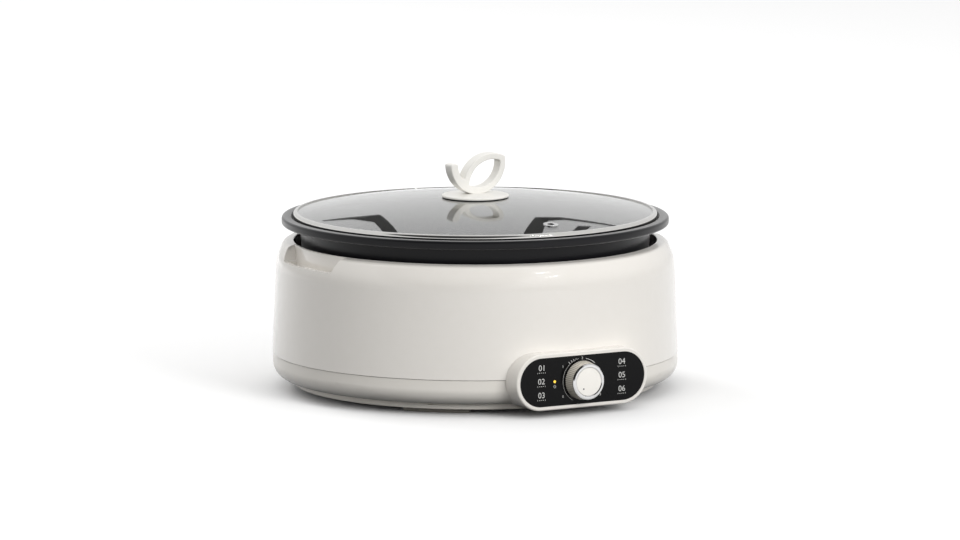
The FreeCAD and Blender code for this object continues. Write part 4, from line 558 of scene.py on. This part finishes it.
def lid_band():
    """Rolled ring: the roll that shows, over a straight skirt, and two lips that hold the glass.

    The roll is part of an ellipse: its half width times the sine and its half height times the
    cosine of an angle from straight up.
    """
    wide, high = RING_ROLL
    turn = np.radians(np.linspace(0, 130, 33))
    roll = np.column_stack([RING_RADIUS - wide + wide * np.sin(turn),
                            RING_TOP - high + high * np.cos(turn)])
    inside, lip = RING_RADIUS - RING_SHEET, RING_RADIUS - RING_LIP
    lip_under = GLASS_LOW - RING_SHEET
    skirt = np.array([
        (roll[-1, 0], RING_BOTTOM), (inside, RING_BOTTOM), (inside, lip_under), (lip, lip_under),
        (lip, GLASS_LOW), (inside, GLASS_LOW), (inside, GLASS_TOP), (lip, GLASS_TOP),
        (lip, RING_TOP),
    ])
    piece = piece_of("lid_band", [lathed(np.concatenate([roll, skirt])[::-1])],
                     (AXIS.x, AXIS.y, 0.0), "lid", STAINLESS)
    smooth_shine(piece, crease=8)
    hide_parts("lid_rim")


def plunger_spring():
    """Coil under the sensor's cup, built at its full length, though the cup pushes it 2 mm shorter.
    """
    coil = helix(COIL_RADIUS, COIL_WIRE, COIL_LOW, COIL_HIGH, COIL_TURNS)
    piece = piece_of("plunger_spring", [coil], (AXIS.x, AXIS.y, 0.0),
                     "base", SPRING_STEEL)
    smooth_shine(piece, crease=60)
    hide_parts("sensor_spring")
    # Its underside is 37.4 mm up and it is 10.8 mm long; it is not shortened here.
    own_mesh(piece)


# Print and paint ----------------------------------------------------------------------------------

# Print ink: a layer of white, half matt, that stands a hair above the panel's glass.
INK = even("screen_ink", "#DADAD7", "#CFCFCC", (0.5, 0.6), 0.4, 0.001)
INK_LAYER = (-0.03, 0.035)  # its front, from the glass, and its thickness

# On the panel, in millimetres: across and up from its middle.
COLUMNS = ((-40.8, 1), (39.8, 4))  # place across, and the top row's number
ROWS = (11.5, -0.3, -12.3)
NUMBER_RISE, NUMBER_HEIGHT = 1.3, 5.0
MARK_DROP, MARK_PITCH = 3.0, 1.9
MARK = (1.2, 0.36)  # length and width
SIGN = (-27.5, -4.3)
SIGN_RADIUS, SIGN_LINE = 1.15, 0.32
SIGN_DASH = (-27.5, -3.5, 1.3)  # its place and length

# Round the knob: bearings in degrees, anticlockwise from the right, and lengths in millimetres.
# An arc has a radius, a start, an end and a width, and a number has a bearing and a distance.
DIAL_ARCS = ((19.3, 101, 242, 0.22), (18.9, 48, 79, 0.4), (19.3, 101, 134, 0.4))
TICKS = ((108, 0.9), (115, 1.3), (122, 1.7), (129, 2.1))  # bearing and length
TICK_START, TICK_WIDTH = 19.6, 0.42
DIAL_NUMBERS = (("0", 214, 23.2), ("1", 145.6, 23.4), ("2", 90, 19.3), ("3", 323, 22.6))
DIAL_NUMBER_HEIGHT = 2.2

# Drop on the knob's cap: its bearing and, in millimetres, its distance from the middle and radius.
DROP_BEARING, DROP_REACH, DROP_RADIUS = 229, 8.0, 0.77
DROP_LAYER = (0.02, 0.36)  # its front, behind the cap's face, and its thickness


def level_columns():
    """Two columns of numbers, each over a row of five marks whose outer two stand upright."""
    parts = []
    for column, first in COLUMNS:
        for row, height in enumerate(ROWS):
            parts.append(number(f"0{first + row}", column, height + NUMBER_RISE, NUMBER_HEIGHT,
                                *INK_LAYER))
            for step in range(-2, 3):
                upright = 90 if abs(step) == 2 else 0
                mark = dash(column + MARK_PITCH * step, height - MARK_DROP, *MARK, upright)
                parts.append(prism(mark, *INK_LAYER))
    return parts


def lamp_sign():
    """Sign beside the lamp: an open ring and an upright dash in its gap."""
    ring = arc_line(*SIGN, SIGN_RADIUS, 120, 420, SIGN_LINE)
    upright = dash(*SIGN_DASH, SIGN_LINE, 90)
    return [prism(ring, *INK_LAYER), prism(upright, *INK_LAYER)]


def dial():
    """Arcs, growing ticks and numbers round the knob, each at its bearing and distance."""
    x, z = (KNOB.x - PANEL.x) / MM, (KNOB.z - PANEL.z) / MM
    parts = [prism(arc_line(x, z, *arc), *INK_LAYER) for arc in DIAL_ARCS]
    for bearing, length in TICKS:
        turn, reach = math.radians(bearing), TICK_START + length / 2
        tick = dash(x + reach * math.cos(turn), z + reach * math.sin(turn), length, TICK_WIDTH,
                    bearing)
        parts.append(prism(tick, *INK_LAYER))
    for text, bearing, reach in DIAL_NUMBERS:
        turn = math.radians(bearing)
        parts.append(number(text, x + reach * math.cos(turn), z + reach * math.sin(turn),
                            DIAL_NUMBER_HEIGHT, *INK_LAYER))
    return parts


def panel_print():
    """Two columns of numbers over level marks, the lamp's sign, and the dial round the knob."""
    parts = level_columns() + lamp_sign() + dial()
    piece_of("panel_print", parts, (PANEL.x, PANEL_FACE, PANEL.z), "base", INK)


def pointer_enamel():
    """Grey drop that fills the dimple in the knob's cap: a disc a hair smaller and shallower."""
    turn = math.radians(DROP_BEARING)
    rim = np.radians(np.arange(0, 360, 15))
    disc = DROP_RADIUS * np.column_stack([np.cos(rim), np.sin(rim)])
    drop = prism(disc + DROP_REACH * np.array([math.cos(turn), math.sin(turn)]), *DROP_LAYER)
    enamel = even("grey_enamel", "#77777A", "#6A6A6C", (0.2, 0.3), 0.5, 0.001)
    piece_of("pointer_enamel", [drop], (KNOB.x, KNOB_FACE, KNOB.z), "knob", enamel)


turned_pot()
plunger_spring()
lid_dome()
lid_band()
panel_print()
pointer_enamel()


# Floor, light and camera --------------------------------------------------------------------------

# Bearings and heights are in degrees, and lengths in metres.
CAMERA_BEARING = -30.0
CAMERA_HEIGHT = 8.2
CAMERA_DISTANCE = 8.0
CAMERA_LENS = 341.0  # millimetres
AIM = Vector((0.00364, 0.00705, 0.1035))  # what the camera and the lamps look at

# The dome and the floor, as they light things and as they are seen.
SKY_LEVEL = 1.09
SKY_SEEN = 1.0
FLOOR_REACH = 40.0
FLOOR_BOUNCE = "#262626"
FLOOR_SEEN = "#FCFCFC"

# The dark room in front, in gloss: where its middle is, the cosines at its edge and its level.
ROOM_WAY = (-15, 42)
ROOM_EDGE = (0.72, 0.84)
ROOM_LEVEL = 0.06

# Each lamp's name, bearing, height, distance, width and height of its face, watts, and whether
# mirrors and glass show it.
LAMPS = (
    ("key", 38, 21, 3.0, (1.2, 1.2), 41, False),
    ("rear_left", -140, 28, 3.0, (1.2, 1.2), 25, False),
    ("strip_right_high", 43, 37, 2.4, (0.34, 0.035), 0.6, True),
    ("strip_right_low", 47, 29, 2.4, (0.34, 0.035), 0.6, True),
)

DRAPES_BEHIND = 12.0
# Corners of each drape, metres to the camera's right of the pot and up from the floor.
DRAPES = (
    ((-0.80, 3.64), (-0.70, 3.67), (-0.75, 6.03), (-0.88, 5.89)),
    ((-1.10, 3.48), (-0.80, 3.64), (-0.83, 4.53), (-0.93, 3.88), (-1.11, 3.61)),
    ((0.47, 6.27), (0.47, 4.31), (0.58, 4.20), (0.65, 6.16)),
    ((0.47, 4.31), (0.66, 4.11), (1.16, 4.29), (1.17, 4.44), (0.71, 4.37), (0.58, 4.68)),
    ((0.87, 4.85), (0.97, 4.72), (1.00, 5.73), (0.90, 5.85)),
)


def facing(bearing, height):
    """Direction from the pot: bearing counts from the camera's side towards its right."""
    toward, rise = math.radians(CAMERA_BEARING + bearing), math.radians(height)
    return Vector((math.sin(toward) * math.cos(rise), -math.cos(toward) * math.cos(rise),
                   math.sin(rise)))


def seen_directly(tree):
    """1 on rays of the camera, a mirror or glass, and 0 on the rays that light other things."""
    path = add(tree, "ShaderNodeLightPath")
    either = add(tree, "ShaderNodeMath", {0: path.outputs["Is Camera Ray"],
                                          1: path.outputs["Is Glossy Ray"]}, operation="MAXIMUM")
    return add(tree, "ShaderNodeMath", {0: either.outputs[0],
                                        1: path.outputs["Is Transmission Ray"]},
               operation="MAXIMUM").outputs[0]


def studio_floor():
    """A wide floor, white to the eye, that keeps the object's shadow and throws little light up."""
    mesh = bpy.data.meshes.new("floor")
    reach = FLOOR_REACH
    corners = [(-reach, -reach, 0), (reach, -reach, 0), (reach, reach, 0), (-reach, reach, 0)]
    mesh.from_pydata(corners, [], [(0, 1, 2, 3)])
    floor = bpy.data.objects.new("floor", mesh)
    bpy.context.scene.collection.objects.link(floor)
    material, tree = new_tree("white_floor")
    tone = add(tree, "ShaderNodeMix", {0: seen_directly(tree), 6: linear(FLOOR_BOUNCE),
                                       7: linear(FLOOR_SEEN)}, data_type="RGBA")
    matt = add(tree, "ShaderNodeBsdfDiffuse", {"Color": tone.outputs[2]})
    add(tree, "ShaderNodeOutputMaterial", {"Surface": matt.outputs[0]})
    mesh.materials.append(material)


def studio_drapes():
    """Grey cloths far behind the pot and high above it, that the lid's glass mirrors."""
    across, back = facing(90, 0), facing(180, 0)
    places, faces = [], []
    for outline in DRAPES:
        faces.append(list(range(len(places), len(places) + len(outline))))
        places += [AXIS * Vector((1, 1, 0)) + across * side + back * DRAPES_BEHIND
                   + Vector((0, 0, rise)) for side, rise in outline]
    mesh = bpy.data.meshes.new("drapes")
    mesh.from_pydata(places, [], faces)
    mesh.materials.append(even("grey_molton", "#6E6E6D", "#636362", (0.9, 1.0), 12, 0.5))
    drapes = bpy.data.objects.new("drapes", mesh)
    bpy.context.scene.collection.objects.link(drapes)


def studio_world():
    """Even dome of light: white to the eye, and white in gloss but for the dark room in front.

    The room is a patch of the dome about one direction: the dot product with it, smoothed.
    """
    world = bpy.data.worlds.new("studio")
    bpy.context.scene.world = world
    world.use_nodes = True
    tree = world.node_tree
    tree.nodes.clear()
    level = add(tree, "ShaderNodeMapRange", {"Value": seen_directly(tree), "To Min": SKY_LEVEL,
                                             "To Max": SKY_SEEN})
    place = add(tree, "ShaderNodeTexCoord").outputs["Generated"]
    front = add(tree, "ShaderNodeVectorMath", {0: place, 1: facing(*ROOM_WAY)},
                operation="DOT_PRODUCT")
    room = add(tree, "ShaderNodeMapRange", {
        "Value": front.outputs["Value"], "From Min": ROOM_EDGE[0], "From Max": ROOM_EDGE[1],
    }, interpolation_type="SMOOTHSTEP")
    gloss = add(tree, "ShaderNodeLightPath").outputs["Is Glossy Ray"]
    dark = add(tree, "ShaderNodeMath", {0: room.outputs[0], 1: gloss}, operation="MULTIPLY")
    dimming = add(tree, "ShaderNodeMapRange", {"Value": dark.outputs[0], "To Min": 1.0,
                                               "To Max": ROOM_LEVEL})
    shown = add(tree, "ShaderNodeMath", {0: level.outputs[0], 1: dimming.outputs[0]},
                operation="MULTIPLY")
    light = add(tree, "ShaderNodeBackground", {"Strength": shown.outputs[0]})
    add(tree, "ShaderNodeOutputWorld", {"Surface": light.outputs[0]})


def soft_box(name, bearing, height, distance, size, power, mirrored):
    """A lamp aimed at the pot; size is its width and height, and mirrored shows it in gloss."""
    way = facing(bearing, height)
    data = bpy.data.lights.new(name, "AREA")
    data.shape = "RECTANGLE"
    data.size, data.size_y = size
    data.energy = power
    lamp = bpy.data.objects.new(name, data)
    lamp.location = AIM + way * distance
    lamp.rotation_euler = way.to_track_quat("Z", "Y").to_euler()
    lamp.visible_glossy = mirrored
    lamp.visible_transmission = mirrored
    bpy.context.scene.collection.objects.link(lamp)


def aim_camera():
    """Long lens from a little above the pot, so that lines hardly converge."""
    away = facing(0, CAMERA_HEIGHT)
    lens = bpy.data.cameras.new("camera")
    lens.lens = CAMERA_LENS
    lens.sensor_width = 36.0
    lens.clip_end = 100.0
    camera = bpy.data.objects.new("camera", lens)
    camera.location = AIM + away * CAMERA_DISTANCE
    camera.rotation_euler = away.to_track_quat("Z", "Y").to_euler()
    bpy.context.scene.collection.objects.link(camera)
    bpy.context.scene.camera = camera


studio_floor()
studio_drapes()
studio_world()
for lamp_row in LAMPS:
    soft_box(*lamp_row)
aim_camera()
bpy.context.scene.view_settings.view_transform = "Standard"
